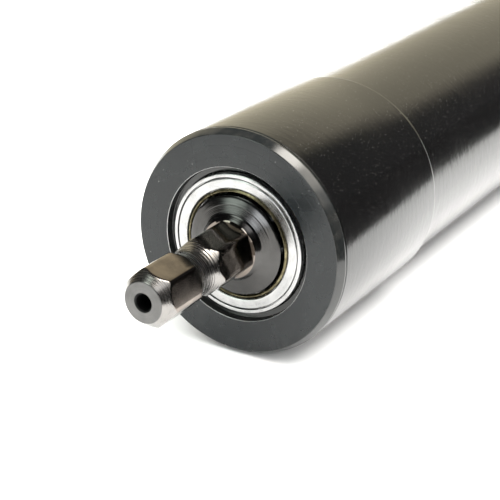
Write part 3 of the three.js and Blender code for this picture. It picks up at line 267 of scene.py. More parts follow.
class Shading:
    """Adds nodes to the node tree of a material or of the world."""

    def __init__(self, tree):
        self.nodes = tree.nodes
        self.links = tree.links

    def fill(self, socket, value):
        if isinstance(value, bpy.types.NodeSocket):
            self.links.new(value, socket)
        elif value is not None:
            socket.default_value = value

    def operate(self, kind, operation, first, second):
        node = self.nodes.new(kind)
        node.operation = operation
        self.fill(node.inputs[0], first)
        self.fill(node.inputs[1], second)
        return node.outputs

    def vector(self, operation, first, second=None, output="Vector"):
        return self.operate("ShaderNodeVectorMath", operation, first, second)[output]

    def math(self, operation, first, second=None):
        return self.operate("ShaderNodeMath", operation, first, second)[0]

    def spread(self, value, low, high, to_low, to_high, curve="LINEAR"):
        """value between low and high, mapped to a range and clamped."""
        node = self.nodes.new("ShaderNodeMapRange")
        node.interpolation_type = curve
        self.fill(node.inputs["Value"], value)
        numbers = {"From Min": low, "From Max": high, "To Min": to_low, "To Max": to_high}
        for name, number in numbers.items():
            node.inputs[name].default_value = number
        return node.outputs["Result"]

    def blend(self, share, first, second):
        node = self.nodes.new("ShaderNodeMix")
        node.data_type = "RGBA"
        self.fill(node.inputs["Factor"], share)
        for socket, color in ((node.inputs["A"], first), (node.inputs["B"], second)):
            self.fill(socket, color if isinstance(color, bpy.types.NodeSocket) else (*color, 1))
        return node.outputs["Result"]


class Finish(Shading):
    """A Principled material whose patterns are built from noise around the motor's axis."""

    def __init__(self, name, color, roughness, metallic=0.0, ior=1.5):
        self.material = bpy.data.materials.new(name)
        self.material.use_nodes = True
        super().__init__(self.material.node_tree)
        self.shader = self.nodes["Principled BSDF"]
        self.shader.inputs["Base Color"].default_value = (*color, 1)
        self.shader.inputs["Roughness"].default_value = roughness
        self.shader.inputs["Metallic"].default_value = metallic
        self.shader.inputs["IOR"].default_value = ior
        coordinates = self.nodes.new("ShaderNodeTexCoord")
        self.position = self.vector("SUBTRACT", coordinates.outputs["Object"], tuple(AXIS_POINT))
        self.normal = None

    def noise(self, size, stretch=(1, 1, 1), detail=3.0, rough=0.55):
        """Noise with features of the given size in millimetres, larger along stretched directions."""
        node = self.nodes.new("ShaderNodeTexNoise")
        scaled = self.vector("MULTIPLY", self.position, tuple(1 / (s * size * MM) for s in stretch))
        self.links.new(scaled, node.inputs["Vector"])
        node.inputs["Scale"].default_value = 1
        node.inputs["Detail"].default_value = detail
        node.inputs["Roughness"].default_value = rough
        return node.outputs["Fac"]

    def axis_radius(self):
        flat = self.vector("MULTIPLY", self.position, (1, 0, 1))
        return self.vector("LENGTH", flat, output="Value")

    def turning_lines(self, pitch, detail=2.0):
        """Rings around the axis, as a lathe leaves them, about pitch millimetres apart."""
        along = self.nodes.new("ShaderNodeSeparateXYZ")
        self.links.new(self.position, along.inputs[0])
        travel = self.math("ADD", self.axis_radius(), along.outputs["Y"])
        node = self.nodes.new("ShaderNodeTexNoise")
        node.noise_dimensions = "1D"
        self.fill(node.inputs["W"], self.math("MULTIPLY", travel, 1 / (pitch * MM)))
        node.inputs["Scale"].default_value = 1
        node.inputs["Detail"].default_value = detail
        return node.outputs["Fac"]

    def tone(self, pattern, low, high, first, second):
        """A color that goes from first to second as the pattern rises from low to high."""
        return self.blend(self.spread(pattern, low, high, 0, 1), first, second)

    def color(self, value):
        self.links.new(value, self.shader.inputs["Base Color"])
        return self

    def roughness(self, value):
        self.links.new(value, self.shader.inputs["Roughness"])
        return self

    def bump(self, height, depth):
        """Raises the surface by up to depth millimetres where height is 1."""
        node = self.nodes.new("ShaderNodeBump")
        node.inputs["Strength"].default_value = 1
        node.inputs["Distance"].default_value = depth * MM
        self.links.new(height, node.inputs["Height"])
        if self.normal:
            self.links.new(self.normal, node.inputs["Normal"])
        self.normal = node.outputs["Normal"]
        self.links.new(self.normal, self.shader.inputs["Normal"])
        return self


def specks(finish, size, amount):
    """1 on small scattered grains of dust and 0 elsewhere."""
    return finish.spread(finish.noise(size, detail=1), 1 - amount, 1 - amount + 0.02, 0, 1)


def powder_black():
    """Black powder coat: an orange peel drawn out around the tube, faint streaks, a little dust."""
    finish = Finish("powder_black", (0.0025, 0.0025, 0.0025), 0.16)
    streaks = finish.noise(0.35, (18, 1, 18), detail=2)
    patches = finish.noise(9, detail=4)
    peel = finish.noise(1.1, (2.5, 1, 2.5), detail=3)
    dust = specks(finish, 0.25, 0.25)
    worn = finish.math("ADD", finish.spread(streaks, 0.3, 0.75, 0, 0.05),
                       finish.spread(patches, 0.35, 0.7, 0.12, 0.18))
    finish.roughness(finish.math("ADD", worn, finish.math("MULTIPLY", dust, 0.25)))
    finish.color(finish.blend(dust, (0.0025, 0.0025, 0.0025), (0.1, 0.095, 0.085)))
    finish.bump(peel, 0.03).bump(streaks, 0.002)
    return finish.material


def blackened_face():
    """Turned steel, blackened: a satin charcoal with faint rings, blotches and dust."""
    finish = Finish("blackened_face", (0.006, 0.008, 0.009), 0.28, ior=1.38)
    rings = finish.turning_lines(0.12)
    blotches = finish.noise(5, detail=4)
    dust = specks(finish, 0.35, 0.22)
    charcoal = finish.tone(blotches, 0.3, 0.7, (0.005, 0.0065, 0.0075), (0.01, 0.012, 0.013))
    finish.color(finish.blend(dust, charcoal, (0.4, 0.4, 0.38)))
    finish.roughness(finish.spread(blotches, 0.3, 0.7, 0.22, 0.31))
    finish.bump(rings, 0.0015)
    return finish.material


def blackened_edge():
    """The cap's chamfer and rim: the same blackening, glossy from a finer cut."""
    finish = Finish("blackened_edge", (0.01, 0.011, 0.011), 0.12)
    marks = finish.turning_lines(0.2)
    blotches = finish.noise(2.2, detail=4)
    finish.roughness(finish.spread(blotches, 0.3, 0.7, 0.1, 0.18))
    finish.color(finish.tone(blotches, 0.4, 0.65, (0.008, 0.009, 0.009), (0.016, 0.016, 0.015)))
    finish.bump(marks, 0.002).bump(blotches, 0.015)
    return finish.material


def steel(name, tone, roughness, pitch, depth, warmth=1.0):
    """Bare metal with turning or grinding lines around the axis."""
    light = (tone, tone * (0.5 + 0.5 * warmth), tone * warmth)
    finish = Finish(name, light, roughness, metallic=1.0)
    lines = finish.turning_lines(pitch)
    stains = finish.noise(3, detail=5)
    dark = tuple(part * 0.8 for part in light)
    finish.color(finish.tone(stains, 0.35, 0.7, light, dark))
    lined = finish.spread(lines, 0.3, 0.7, -0.04, 0.04)
    stained = finish.spread(stains, 0.3, 0.7, -0.04, 0.06)
    finish.roughness(finish.math("ADD", finish.math("ADD", lined, stained), roughness))
    finish.bump(lines, depth)
    return finish.material


def oiled_flat():
    """The hexagon's flats: drawn dark steel under an oil film, with fine scratches along the shaft."""
    finish = Finish("oiled_flat", (0.16, 0.14, 0.12), 0.13, metallic=1.0)
    scratches = finish.noise(0.3, (1, 14, 1), detail=3)
    stains = finish.noise(2.5, detail=5)
    pits = specks(finish, 0.22, 0.15)
    oil = finish.tone(stains, 0.35, 0.65, (0.18, 0.155, 0.135), (0.13, 0.112, 0.1))
    finish.color(finish.blend(pits, oil, (0.4, 0.36, 0.32)))
    finish.roughness(finish.spread(stains, 0.3, 0.7, 0.09, 0.14))
    finish.bump(scratches, 0.0008).bump(finish.noise(0.5), 0.0008)
    return finish.material


def brass():
    finish = Finish("turned_brass", (0.15, 0.13, 0.075), 0.25, metallic=1.0)
    tarnish = finish.noise(1.6, detail=4)
    finish.color(finish.tone(tarnish, 0.35, 0.65, (0.17, 0.15, 0.09), (0.07, 0.06, 0.035)))
    finish.roughness(finish.spread(tarnish, 0.3, 0.7, 0.2, 0.38))
    finish.bump(finish.turning_lines(0.15), 0.004)
    return finish.material


def plastic(name, color, roughness=0.45):
    """Moulded plastic with a fine spark-eroded grain and slightly shinier worn patches."""
    finish = Finish(name, color, roughness)
    grain = finish.noise(0.3, detail=3)
    wear = finish.noise(7, detail=4)
    faded = tuple(min(1, part * 1.25 + 0.004) for part in color)
    finish.color(finish.tone(wear, 0.35, 0.75, color, faded))
    finish.roughness(finish.spread(wear, 0.3, 0.7, roughness - 0.07, roughness + 0.07))
    finish.bump(grain, 0.012)
    return finish.material


def rubber():
    finish = Finish("black_rubber", (0.012, 0.012, 0.012), 0.7)
    bloom = finish.noise(2, detail=5)
    finish.color(finish.tone(bloom, 0.4, 0.75, (0.01, 0.01, 0.01), (0.03, 0.03, 0.028)))
    finish.roughness(finish.spread(bloom, 0.3, 0.7, 0.6, 0.8))
    finish.bump(finish.noise(0.2), 0.01)
    return finish.material


def cast_aluminium():
    finish = Finish("cast_aluminium", (0.6, 0.61, 0.62), 0.5, metallic=1.0)
    grain = finish.noise(0.6, detail=4)
    stains = finish.noise(6, detail=4)
    finish.color(finish.tone(stains, 0.35, 0.7, (0.62, 0.63, 0.64), (0.46, 0.47, 0.48)))
    finish.roughness(finish.spread(grain, 0.3, 0.7, 0.42, 0.6))
    finish.bump(grain, 0.03)
    return finish.material


def laminations():
    """Stacked sheet steel, seen edge on: thin dark seams half a millimetre apart."""
    finish = Finish("laminations", (0.2, 0.19, 0.18), 0.45, metallic=1.0)
    seams = finish.noise(0.5, (30, 1, 30), detail=1)
    finish.color(finish.tone(seams, 0.4, 0.6, (0.1, 0.09, 0.085), (0.26, 0.25, 0.24)))
    finish.roughness(finish.spread(finish.noise(4), 0.3, 0.7, 0.38, 0.55))
    finish.bump(seams, 0.03)
    return finish.material


def copper_wire():
    """Enamelled wire wound in layers: rounded strands with a coppery varnish."""
    finish = Finish("copper_wire", (0.5, 0.2, 0.07), 0.32, metallic=0.9)
    strands = finish.noise(0.7, (3, 1, 3), detail=2)
    finish.color(finish.tone(strands, 0.35, 0.65, (0.3, 0.1, 0.035), (0.62, 0.27, 0.1)))
    finish.roughness(finish.spread(finish.noise(3), 0.3, 0.7, 0.25, 0.42))
    finish.bump(strands, 0.15)
    return finish.material


POWDER_BLACK = powder_black()
BLACKENED_FACE = blackened_face()
BLACKENED_EDGE = blackened_edge()
GROUND_STEEL = steel("ground_steel", 0.4, 0.24, 0.1, 0.001)
PLAIN_STEEL = steel("plain_steel", 0.45, 0.38, 0.3, 0.006)
TURNED_STEEL = steel("turned_steel", 0.24, 0.24, 0.35, 0.012, warmth=0.92)
MATT_END = steel("matt_end", 0.145, 0.5, 0.25, 0.006, warmth=0.97)
BOSS_STEEL = steel("boss_steel", 0.065, 0.15, 0.3, 0.01, warmth=0.96)
# The centre hole: steel painted nearly black and matt, as painted shade in the hole, which also hides
# its reflections.
HOLE_PAINTED_SHADE = steel("hole_painted_shade", 0.03, 0.6, 0.3, 0.004)
BRIGHT_SCREW = steel("bright_screw", 0.6, 0.3, 0.2, 0.004)
OILED_FLAT = oiled_flat()
BRASS = brass()
BLACK_PLASTIC = plastic("black_plastic", (0.014, 0.014, 0.015), 0.42)
GREY_PLASTIC = plastic("grey_plastic", (0.2, 0.21, 0.22), 0.48)
WHITE_PLASTIC = plastic("white_plastic", (0.75, 0.74, 0.7), 0.45)
YELLOW_PLASTIC = plastic("yellow_plastic", (0.68, 0.44, 0.03), 0.42)
BLACK_RUBBER = rubber()
CAST_ALUMINIUM = cast_aluminium()
LAMINATIONS = laminations()
COPPER_WIRE = copper_wire()

# CAD pieces that keep their own shape, inside the tube.
CARRIED = {
    "bearing_inner_ring": GROUND_STEEL, "bearing_ball_cage": GROUND_STEEL, "shaft_circlip": BRIGHT_SCREW,
    "ring_gear": PLAIN_STEEL, "output_carrier": PLAIN_STEEL, "second_carrier": PLAIN_STEEL,
    "first_carrier": PLAIN_STEEL, "gearbox_cover": CAST_ALUMINIUM, "motor_shaft": GROUND_STEEL,
    "rotor_core": LAMINATIONS, "rotor_cage": CAST_ALUMINIUM, "stator_core": LAMINATIONS,
    "stator_winding": COPPER_WIRE, "front_motor_bracket": CAST_ALUMINIUM,
    "rear_motor_bracket": CAST_ALUMINIUM, "front_motor_bush": BRASS, "rear_motor_bush": BRASS,
    "brake_disc": PLAIN_STEEL, "brake_armature": PLAIN_STEEL, "brake_spring": BRIGHT_SCREW,
    "brake_coil": COPPER_WIRE, "brake_magnet_pot": PLAIN_STEEL, "capacitor": WHITE_PLASTIC,
    "capacitor_lid": BLACK_PLASTIC, "capacitor_sleeve": GREY_PLASTIC, "limit_frame": WHITE_PLASTIC,
    "tube_end_bush": GREY_PLASTIC,
}
for planet_stage in ("first", "second", "third"):
    for planet in (1, 2, 3):
        CARRIED[f"{planet_stage}_planet_{planet}"] = PLAIN_STEEL
for direction in ("up", "down"):
    CARRIED[f"{direction}_limit_spindle"] = BRIGHT_SCREW
    CARRIED[f"{direction}_limit_nut"] = YELLOW_PLASTIC
    CARRIED[f"{direction}_limit_switch"] = BLACK_PLASTIC
    CARRIED[f"{direction}_switch_button"] = YELLOW_PLASTIC
for node, finish in CARRIED.items():
    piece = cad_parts[node]
    for material_slot in piece.material_slots:
        material_slot.material = finish


# ---- Tube, cap and bearing --------------------------------------------------------------------

TUBE = Place("housing_tube")
CAP = Place("front_cap")
BEARING = Place("bearing_outer_ring")
GAP = 0.3  # between pieces that sit in or on each other
TUBE_WALL = 1.5
TUBE_STEP = 0.9  # how far the rest of the tube lies below the collar
TUBE_RADIUS = CAP_RADIUS - TUBE_STEP
COLLAR_LENGTH = 41
SWAGE_LENGTH = 1.2
TUBE_HOLE_RADIUS = 1.7  # for the screws at the tube's end
CAP_RIM = TUBE.start - GAP
CHAMFER_DEPTH = 1.67
CHAMFER_HEIGHT = 0.9
RECESS_RADIUS = BEARING.radius + 1.3
RECESS_DEPTH = 1.8
RECESS_EDGE = 0.15  # width of the bright worn edge around the recess
SEAT_LIP = 1.3  # what holds the bearing's back
RACE_LAND = 0.8  # the outer ring's face, outside the shield
RACE_WALL = 1.6
RACE_CORNER = 0.35
DUST_RING_WIDTH = 0.75
DUST_RING_CREST = 0.3  # how far its middle stands in front of its edges
FACE_RINGS = (17.3, 19.6)  # faint tool marks on the cap's face
FACE_RING_WIDTH = 0.07
FACE_RING_DEPTH = 0.02


def tube():
    """The drawn tube, a little wider over its first stretch, with two screw holes near its end."""
    inner = CAP_RADIUS - TUBE_WALL
    swage_end = COLLAR_LENGTH + SWAGE_LENGTH
    body = turned("tube", rounded([
        (CAP_RADIUS, TUBE.start, 0.25), (CAP_RADIUS, COLLAR_LENGTH, 0.5), (TUBE_RADIUS, swage_end, 0.5),
        (TUBE_RADIUS, TUBE.end, 0.3), (TUBE_RADIUS - TUBE_WALL, TUBE.end, 0.2),
        (TUBE_RADIUS - TUBE_WALL, swage_end, 0.5), (inner, COLLAR_LENGTH, 0.5),
        (inner, TUBE.start, 0.15),
    ]), [POWDER_BLACK])
    screw = Place("right_tube_screw")
    reach = TUBE_RADIUS + 3
    hole = [(0, -reach), (TUBE_HOLE_RADIUS, -reach), (TUBE_HOLE_RADIUS, reach), (0, reach)]
    sideways = Matrix.Rotation(math.pi / 2, 4, "Z")
    tool = bar(hole, 0, 0, sideways, segments=32)
    return smooth(cut(body, shift(tool, along=screw.middle)))


def front_cap():
    """The turned end cap: chamfered outside, recessed around the bearing, with faint rings between."""
    plug = CAP_RADIUS - TUBE_WALL - GAP
    seat = BEARING.radius + GAP / 2
    seat_back = BEARING.end + GAP
    lip = BEARING.radius - SEAT_LIP
    face = []
    for ring in FACE_RINGS:
        face += [(ring - 2 * FACE_RING_WIDTH, 0, 0), (ring - FACE_RING_WIDTH, 0, 0),
                 (ring, FACE_RING_DEPTH, 0.05), (ring + FACE_RING_WIDTH, 0, 0),
                 (ring + 2 * FACE_RING_WIDTH, 0, 0)]
    profile = rounded([
        (RECESS_RADIUS, 0, 0.2), *face, (CAP_RADIUS - CHAMFER_HEIGHT, 0, 0.14),
        (CAP_RADIUS, CHAMFER_DEPTH, 0.1), (CAP_RADIUS, CAP_RIM, 0.08), (plug, CAP_RIM, 0),
        (plug, CAP.end, 0.6), (lip, CAP.end, 0.2), (lip, seat_back, 0.1), (seat, seat_back, 0.1),
        (seat, RECESS_DEPTH, 0.1), (RECESS_RADIUS, RECESS_DEPTH, 0.2),
    ])
    chamfer_start = CAP_RADIUS - CHAMFER_HEIGHT - 0.1
    satin, glossy, worn = range(3)

    def finish_of(angle, radius, place):
        if RECESS_RADIUS + 0.01 < radius < RECESS_RADIUS + RECESS_EDGE and place < 0.2:
            return worn
        return glossy if radius > chamfer_start or radius < RECESS_RADIUS + 0.1 else satin

    return turned("cap", profile, [BLACKENED_FACE, BLACKENED_EDGE, PLAIN_STEEL], finish_of=finish_of)


def bearing_outer_ring():
    """A ground ring, stepped inside for the shield."""
    land = BEARING.radius - RACE_LAND
    bore = BEARING.radius - RACE_WALL
    seat = Place("bearing_shield").end + GAP
    return turned("outer_race", rounded([
        (land, BEARING.start, 0.1), (BEARING.radius, BEARING.start, RACE_CORNER),
        (BEARING.radius, BEARING.end, RACE_CORNER), (bore, BEARING.end, 0.2), (bore, seat, 0.05),
        (land, seat, 0),
    ]), [GROUND_STEEL])


def bearing_shield():
    """A pressed shield with rounded edges, which snaps into the outer ring."""
    place = Place("bearing_shield")
    inner = Place("brass_dust_ring").radius + GAP / 2
    return turned("seal_shield", rounded([
        (inner, place.start + 0.12, 0.15), (inner + 0.3, place.start, 0.2),
        (place.radius - 0.2, place.start, 0.15), (place.radius, place.start + 0.2, 0.1),
        (place.radius, place.end, 0.05), (inner, place.end, 0.05),
    ]), [GROUND_STEEL])


def brass_dust_ring():
    """A thin ring with a raised crest, between the shield and the shaft."""
    place = Place("brass_dust_ring")
    inner = place.radius - DUST_RING_WIDTH
    crest = (inner + place.radius) / 2
    edge = place.start + DUST_RING_CREST
    return turned("dust_ring", rounded([
        (inner, edge, 0.1), (crest - 0.05, place.start, 0.1), (crest + 0.05, place.start, 0.1),
        (place.radius, edge, 0.1), (place.radius, place.end, 0.05), (inner, place.end, 0.05),
    ]), [BRASS])


stand_for(tube(), "housing_tube", "housing")
stand_for(front_cap(), "front_cap", "housing")
stand_for(bearing_outer_ring(), "bearing_outer_ring", "housing")
stand_for(bearing_shield(), "bearing_shield", "housing")
stand_for(brass_dust_ring(), "brass_dust_ring", "housing")

# ---- Output shaft -----------------------------------------------------------------------------

SHAFT = Place("output_shaft")
HEX_HALF = 5.0  # from the axis to a flat
HEX_TURN = math.radians(46.8)  # one corner, to the right of upright
HEX_CORNER = 5.6  # from the axis to a corner, which is turned down
TIP_RADIUS = 3.9  # flat end inside the chamfer
TIP_CHAMFER = 2.4
HOLE_RADIUS = 1.6  # centre hole
HOLE_DEPTH = 8
GROOVE_FRONT = -19.9
GROOVE_BACK = -12.2
GROOVE_MIDDLE = (GROOVE_FRONT + GROOVE_BACK) / 2
GROOVE_DEPTH = 1.2
GROOVE_STEPS = 60
RIDGE_STEPS = 5  # from one tool ridge in the groove to the next
RIDGE_HEIGHT = 0.018
BOSS_FRONT = -2.3  # where the hexagon ends and the boss begins
BOSS_RADIUS = SHAFT.radius
BOSS_EDGE = 0.13  # the boss's back
CONE_START = (6.9, -1.08)  # radius and place of the boss's flat cone, inside
CONE_END = (9.75, -0.08)
TOOL_MARKS = 5  # rings that the tool left on the cone's inner part
TOOL_MARK_WIDTH = 0.26
TOOL_MARK_DEPTH = 0.02
JOURNAL_RADIUS = 7.4
CLIP_FRONT = 7.73  # the circlip's groove
CLIP_BACK = 9.13
CLIP_RADIUS = JOURNAL_RADIUS - 0.6
JOURNAL_END = 10.63
DRIVE_RADIUS = 6.2  # turned over the drive hexagon's corners, behind the journal
EDGE_BLEND = 0.22  # how softly the flats run into the turned faces


def hex_reach(angle):
    """Distance from the axis to the hexagon's side in a direction measured from upright."""
    turn = (angle - HEX_TURN) % (TAU / 6) - TAU / 12
    return HEX_HALF / math.cos(turn)


def hex_outline(angle, radius, place):
    if BOSS_FRONT < place < JOURNAL_END + 0.01 or radius < HEX_HALF - EDGE_BLEND:
        return radius
    return soft_minimum(radius, hex_reach(angle), EDGE_BLEND)


def groove_rows():
    """The round-bottomed snap groove, with the fine ridges that the tool left in it."""
    half = (GROOVE_BACK - GROOVE_FRONT) / 2
    arc = (half ** 2 + GROOVE_DEPTH ** 2) / (2 * GROOVE_DEPTH)
    rows = []
    for step in range(GROOVE_STEPS + 1):
        offset = (2 * step / GROOVE_STEPS - 1) * half
        radius = HEX_CORNER - GROOVE_DEPTH + arc - math.sqrt(arc ** 2 - offset ** 2)
        if 2 < step < GROOVE_STEPS - 2:
            radius += RIDGE_HEIGHT * math.sin(step * TAU / RIDGE_STEPS)
        rows.append((radius, GROOVE_MIDDLE + offset))
    return rows


def straight_rows(radius, start, end, step):
    count = max(1, round((end - start) / step))
    return [(radius, start + (end - start) * i / count) for i in range(count + 1)]


def cone_place(radius):
    share = (radius - CONE_START[0]) / (CONE_END[0] - CONE_START[0])
    return CONE_START[1] + (CONE_END[1] - CONE_START[1]) * share


def boss_rows():
    """A steep cone up from the hexagon's root, then a flat cone with tool marks near its inside."""
    rows = [(5.75, BOSS_FRONT + 0.02), (5.85, -2.2), (6.3, -1.5), (6.6, -1.2), (6.75, -1.12)]
    for mark in range(TOOL_MARKS):
        for share, depth in ((0, 0), (0.4, TOOL_MARK_DEPTH), (0.7, TOOL_MARK_DEPTH)):
            radius = CONE_START[0] + (mark + share) * TOOL_MARK_WIDTH
            rows.append((radius, cone_place(radius) + depth))
    plain = CONE_START[0] + TOOL_MARKS * TOOL_MARK_WIDTH
    for step in range(5):
        radius = plain + (CONE_END[0] - plain) * step / 4
        rows.append((radius, cone_place(radius)))
    return rows + [(BOSS_RADIUS, 0.02), (BOSS_RADIUS, BOSS_EDGE)]


def tip_rows(tip):
    """The flat end around the centre hole, and the chamfer out to the hexagon's corners."""
    rows = [(HOLE_RADIUS, tip + 0.25), (HOLE_RADIUS + 0.25, tip), (3.0, tip), (TIP_RADIUS - 0.12, tip)]
    chamfer_steps = 20
    chamfer_start = 0.08
    for step in range(chamfer_steps + 1):
        share = step / chamfer_steps
        radius = TIP_RADIUS + (HEX_CORNER - TIP_RADIUS) * share
        rows.append((radius, tip + chamfer_start + (TIP_CHAMFER - chamfer_start) * share))
    return rows


def output_shaft():
    """The shaft in one turned body: tip, grooved hexagon, boss, journal and drive hexagon."""
    tip = SHAFT.start
    profile = [
        (0, tip + HOLE_DEPTH + HOLE_RADIUS / 2), (HOLE_RADIUS, tip + HOLE_DEPTH), *tip_rows(tip),
        *straight_rows(HEX_CORNER, tip + TIP_CHAMFER + 0.15, GROOVE_FRONT - 0.15, 0.5),
        *groove_rows(),
        *straight_rows(HEX_CORNER, GROOVE_BACK + 0.15, BOSS_FRONT - 0.05, 0.5),
        *boss_rows(),
        (JOURNAL_RADIUS, BOSS_EDGE), (JOURNAL_RADIUS, CLIP_FRONT), (CLIP_RADIUS, CLIP_FRONT),
        (CLIP_RADIUS, CLIP_BACK), (JOURNAL_RADIUS, CLIP_BACK), (JOURNAL_RADIUS, JOURNAL_END - 0.3),
        (JOURNAL_RADIUS - 0.3, JOURNAL_END), (DRIVE_RADIUS, JOURNAL_END),
        *straight_rows(DRIVE_RADIUS, JOURNAL_END + 0.02, SHAFT.end - 0.4, 2),
        (5.4, SHAFT.end), (0, SHAFT.end),
    ]
    flat, lathed, end, boss, hole = range(5)
    boss_back = 0.2

    def finish_of(angle, radius, place):
        # The centre hole's walls and countersink get the finish with painted shade.
        if radius < HOLE_RADIUS + 0.2:
            return hole
        if place < tip + 0.05:
            return end
        if BOSS_FRONT < place < boss_back:
            return boss
        below_corner = radius < min(hex_reach(angle) + 0.02, HEX_CORNER - 0.01)
        return lathed if below_corner or boss_back < place < JOURNAL_END else flat

    return turned("shaft", profile, [OILED_FLAT, TURNED_STEEL, MATT_END, BOSS_STEEL, HOLE_PAINTED_SHADE],
                  segments=360, outline=hex_outline, finish_of=finish_of)


stand_for(output_shaft(), "output_shaft", "output")

# ---- Crown ring and head ----------------------------------------------------------------------

CROWN = Place("crown_ring")
HEAD = Place("head_body")
COVER = Place("head_cover")
SEAM = 0.08  # between the head and its cover
HEAD_RADIUS = HEAD.radius
HEAD_FLAT = HEAD.top
HEAD_FRONT = CROWN.end + GAP
KEY_COUNT = 4
KEY_WIDTH = 5
KEY_DEPTH = 1.7
CROWN_TEETH = 40
CROWN_MODULE = 0.87
ROOT_HALF_ANGLE = 0.048  # half the angle that a tooth of the crown takes at its root
TIP_HALF_ANGLE = 0.018
CROWN_STEP = CROWN.start + 7.3  # where the teeth end
CROWN_JOURNAL = 17.3  # carries the crown ring
SPIGOT_RADIUS = 16.6
SPINDLE_OFFSET = 13.485  # from the axis to a limit spindle
SPINDLE_HOLE_RADIUS = 2.5
PINION_POCKET = 5.1  # half the pocket around a spindle's pinion
WIRE_BORE = 8
SOCKET_HALF = 8.5  # half the bracket socket's width
SOCKET_DEPTH = 11
CABLE_HOLE = 3.4
SCREW_HOLE = 1.9  # for a cover screw's shank
SCREW_HEAD_DEPTH = 1.8  # how deep the cover screws' heads sit


def crown_gear(root, tip):
    """The ring of teeth inside the crown ring."""
    start, end = CROWN.start + 0.2, CROWN_STEP + 0.1
    tooth_corners = ((root, -ROOT_HALF_ANGLE), (tip, -TIP_HALF_ANGLE), (tip, TIP_HALF_ANGLE),
                     (root, ROOT_HALF_ANGLE))
    teeth = []
    for tooth in range(CROWN_TEETH):
        for radius, offset in tooth_corners:
            angle = TAU * tooth / CROWN_TEETH + offset
            teeth.append((radius * math.cos(angle), radius * math.sin(angle)))
    outer = circle(root + 0.2, len(teeth))
    points = [(x, place, z) for place in (start, end) for x, z in [*teeth, *outer]]
    count = len(teeth)
    front_teeth, front_rim, back_teeth, back_rim = (count * row for row in range(4))
    walls = ((front_teeth, front_rim), (back_teeth, back_rim), (front_teeth, back_teeth),
             (front_rim, back_rim))
    faces = []
    for i in range(count):
        j = (i + 1) % count
        for first, second in walls:
            faces.append((first + i, first + j, second + j, second + i))
    return make_piece("gear", points, faces, [])


def crown_ring():
    """A moulded ring with four keyways, which the shutter tube's crown slips over, toothed inside."""
    pitch_radius = CROWN_TEETH * CROWN_MODULE / 2
    root = pitch_radius + 1.25 * CROWN_MODULE
    tip = pitch_radius - 0.8 * CROWN_MODULE
    back_bore = CROWN_JOURNAL + GAP
    body = turned("crown", rounded([
        (root, CROWN.start, 0.1), (CROWN.radius, CROWN.start, 0.5), (CROWN.radius, CROWN.end, 0.5),
        (back_bore, CROWN.end, 0.2), (back_bore, CROWN_STEP, 0), (root, CROWN_STEP, 0),
    ]), [GREY_PLASTIC])
    half = KEY_WIDTH / 2
    keyway_floor = CROWN.radius - KEY_DEPTH
    keyway_mouth = 30
    keyway = [(-half, keyway_floor), (half, keyway_floor), (half + 0.15, keyway_mouth),
              (-half - 0.15, keyway_mouth)]
    for i in range(KEY_COUNT):
        tool = prism("tool", keyway, CROWN.start - 1, CROWN.end + 1)
        place_on(tool, AXIS_POINT, Matrix.Rotation((i + 0.5) * TAU / KEY_COUNT, 4, "Y"))
        cut(body, tool)
    soften(body, 0.25, angle=50, segments=2)
    return smooth(with_shell(body, crown_gear(root, tip)))


def head_outline(angle, radius, place):
    """The head's circle with its top and bottom cut flat."""
    if radius < CROWN_JOURNAL + 0.5:
        return radius
    flat = (HEAD_FLAT - (HEAD_RADIUS - radius)) / max(abs(math.cos(angle)), 1e-3)
    return soft_minimum(radius, flat, 0.6)


def flared(radius, start, end, flare=0.35):
    """The profile of a cutting tool whose mouth rounds the hole's edge at end."""
    return [(0, start), (radius, start), (radius, end - flare),
            (radius + flare * 0.3, end - flare * 0.4), (radius + flare, end),
            (radius + flare + 0.5, end + 0.5), (0, end + 0.5)]


def hole_tool(place, radius, start, end, segments=32):
    """A cutting tool for a round hole in line with a screw."""
    return bar(flared(radius, start, end), place.across, place.height, segments=segments)


def socket_tool(start, end):
    """A square cutting tool with round corners and a flared mouth at end."""
    rows = ((0, start), (0, end - 0.4), (0.15, end - 0.12), (0.45, end), (1, end + 0.5))
    points = []
    for grow, place in rows:
        half = SOCKET_HALF + grow
        points += [(x, place, z) for x, z in rounded_rectangle(half, half, 1 + grow)]
    count = len(points) // len(rows)
    faces = [tuple(range(count)), tuple(range(len(points) - count, len(points)))]
    for row in range(len(rows) - 1):
        first = row * count
        second = first + count
        for i in range(count):
            j = (i + 1) % count
            faces.append((first + i, first + j, second + j, second + i))
    return make_piece("tool", points, faces, [])


def pinion_tools(side):
    """Cutting tools for the pocket of one limit spindle's pinion and for the hole it comes through."""
    near = side * (SPINDLE_OFFSET - PINION_POCKET)
    far = side * (SPIGOT_RADIUS + 2)
    left, right = min(near, far), max(near, far)
    pocket = [(left, -PINION_POCKET), (right, -PINION_POCKET), (right, PINION_POCKET),
              (left, PINION_POCKET)]
    hole = flared(SPINDLE_HOLE_RADIUS, HEAD.start - 1, CROWN.start + 1)
    return [prism("tool", pocket, CROWN.start + 0.4, CROWN_STEP - 0.4),
            bar(hole, side * SPINDLE_OFFSET, 0, segments=24)]


def gland_tools():
    """Upright cutting tools for the cable's way in and for the gland's seat above it."""
    gland = Place("cable_gland")
    upright = Matrix.Rotation(math.pi / 2, 4, "X")
    tools = []
    for radius, bottom in ((CABLE_HOLE, 0), (gland.radius + GAP, gland.bottom - GAP)):
        tool = bar(flared(radius, bottom, HEAD_FLAT), 0, 0, upright, segments=48)
        tools.append(shift(tool, along=gland.middle))
    return tools


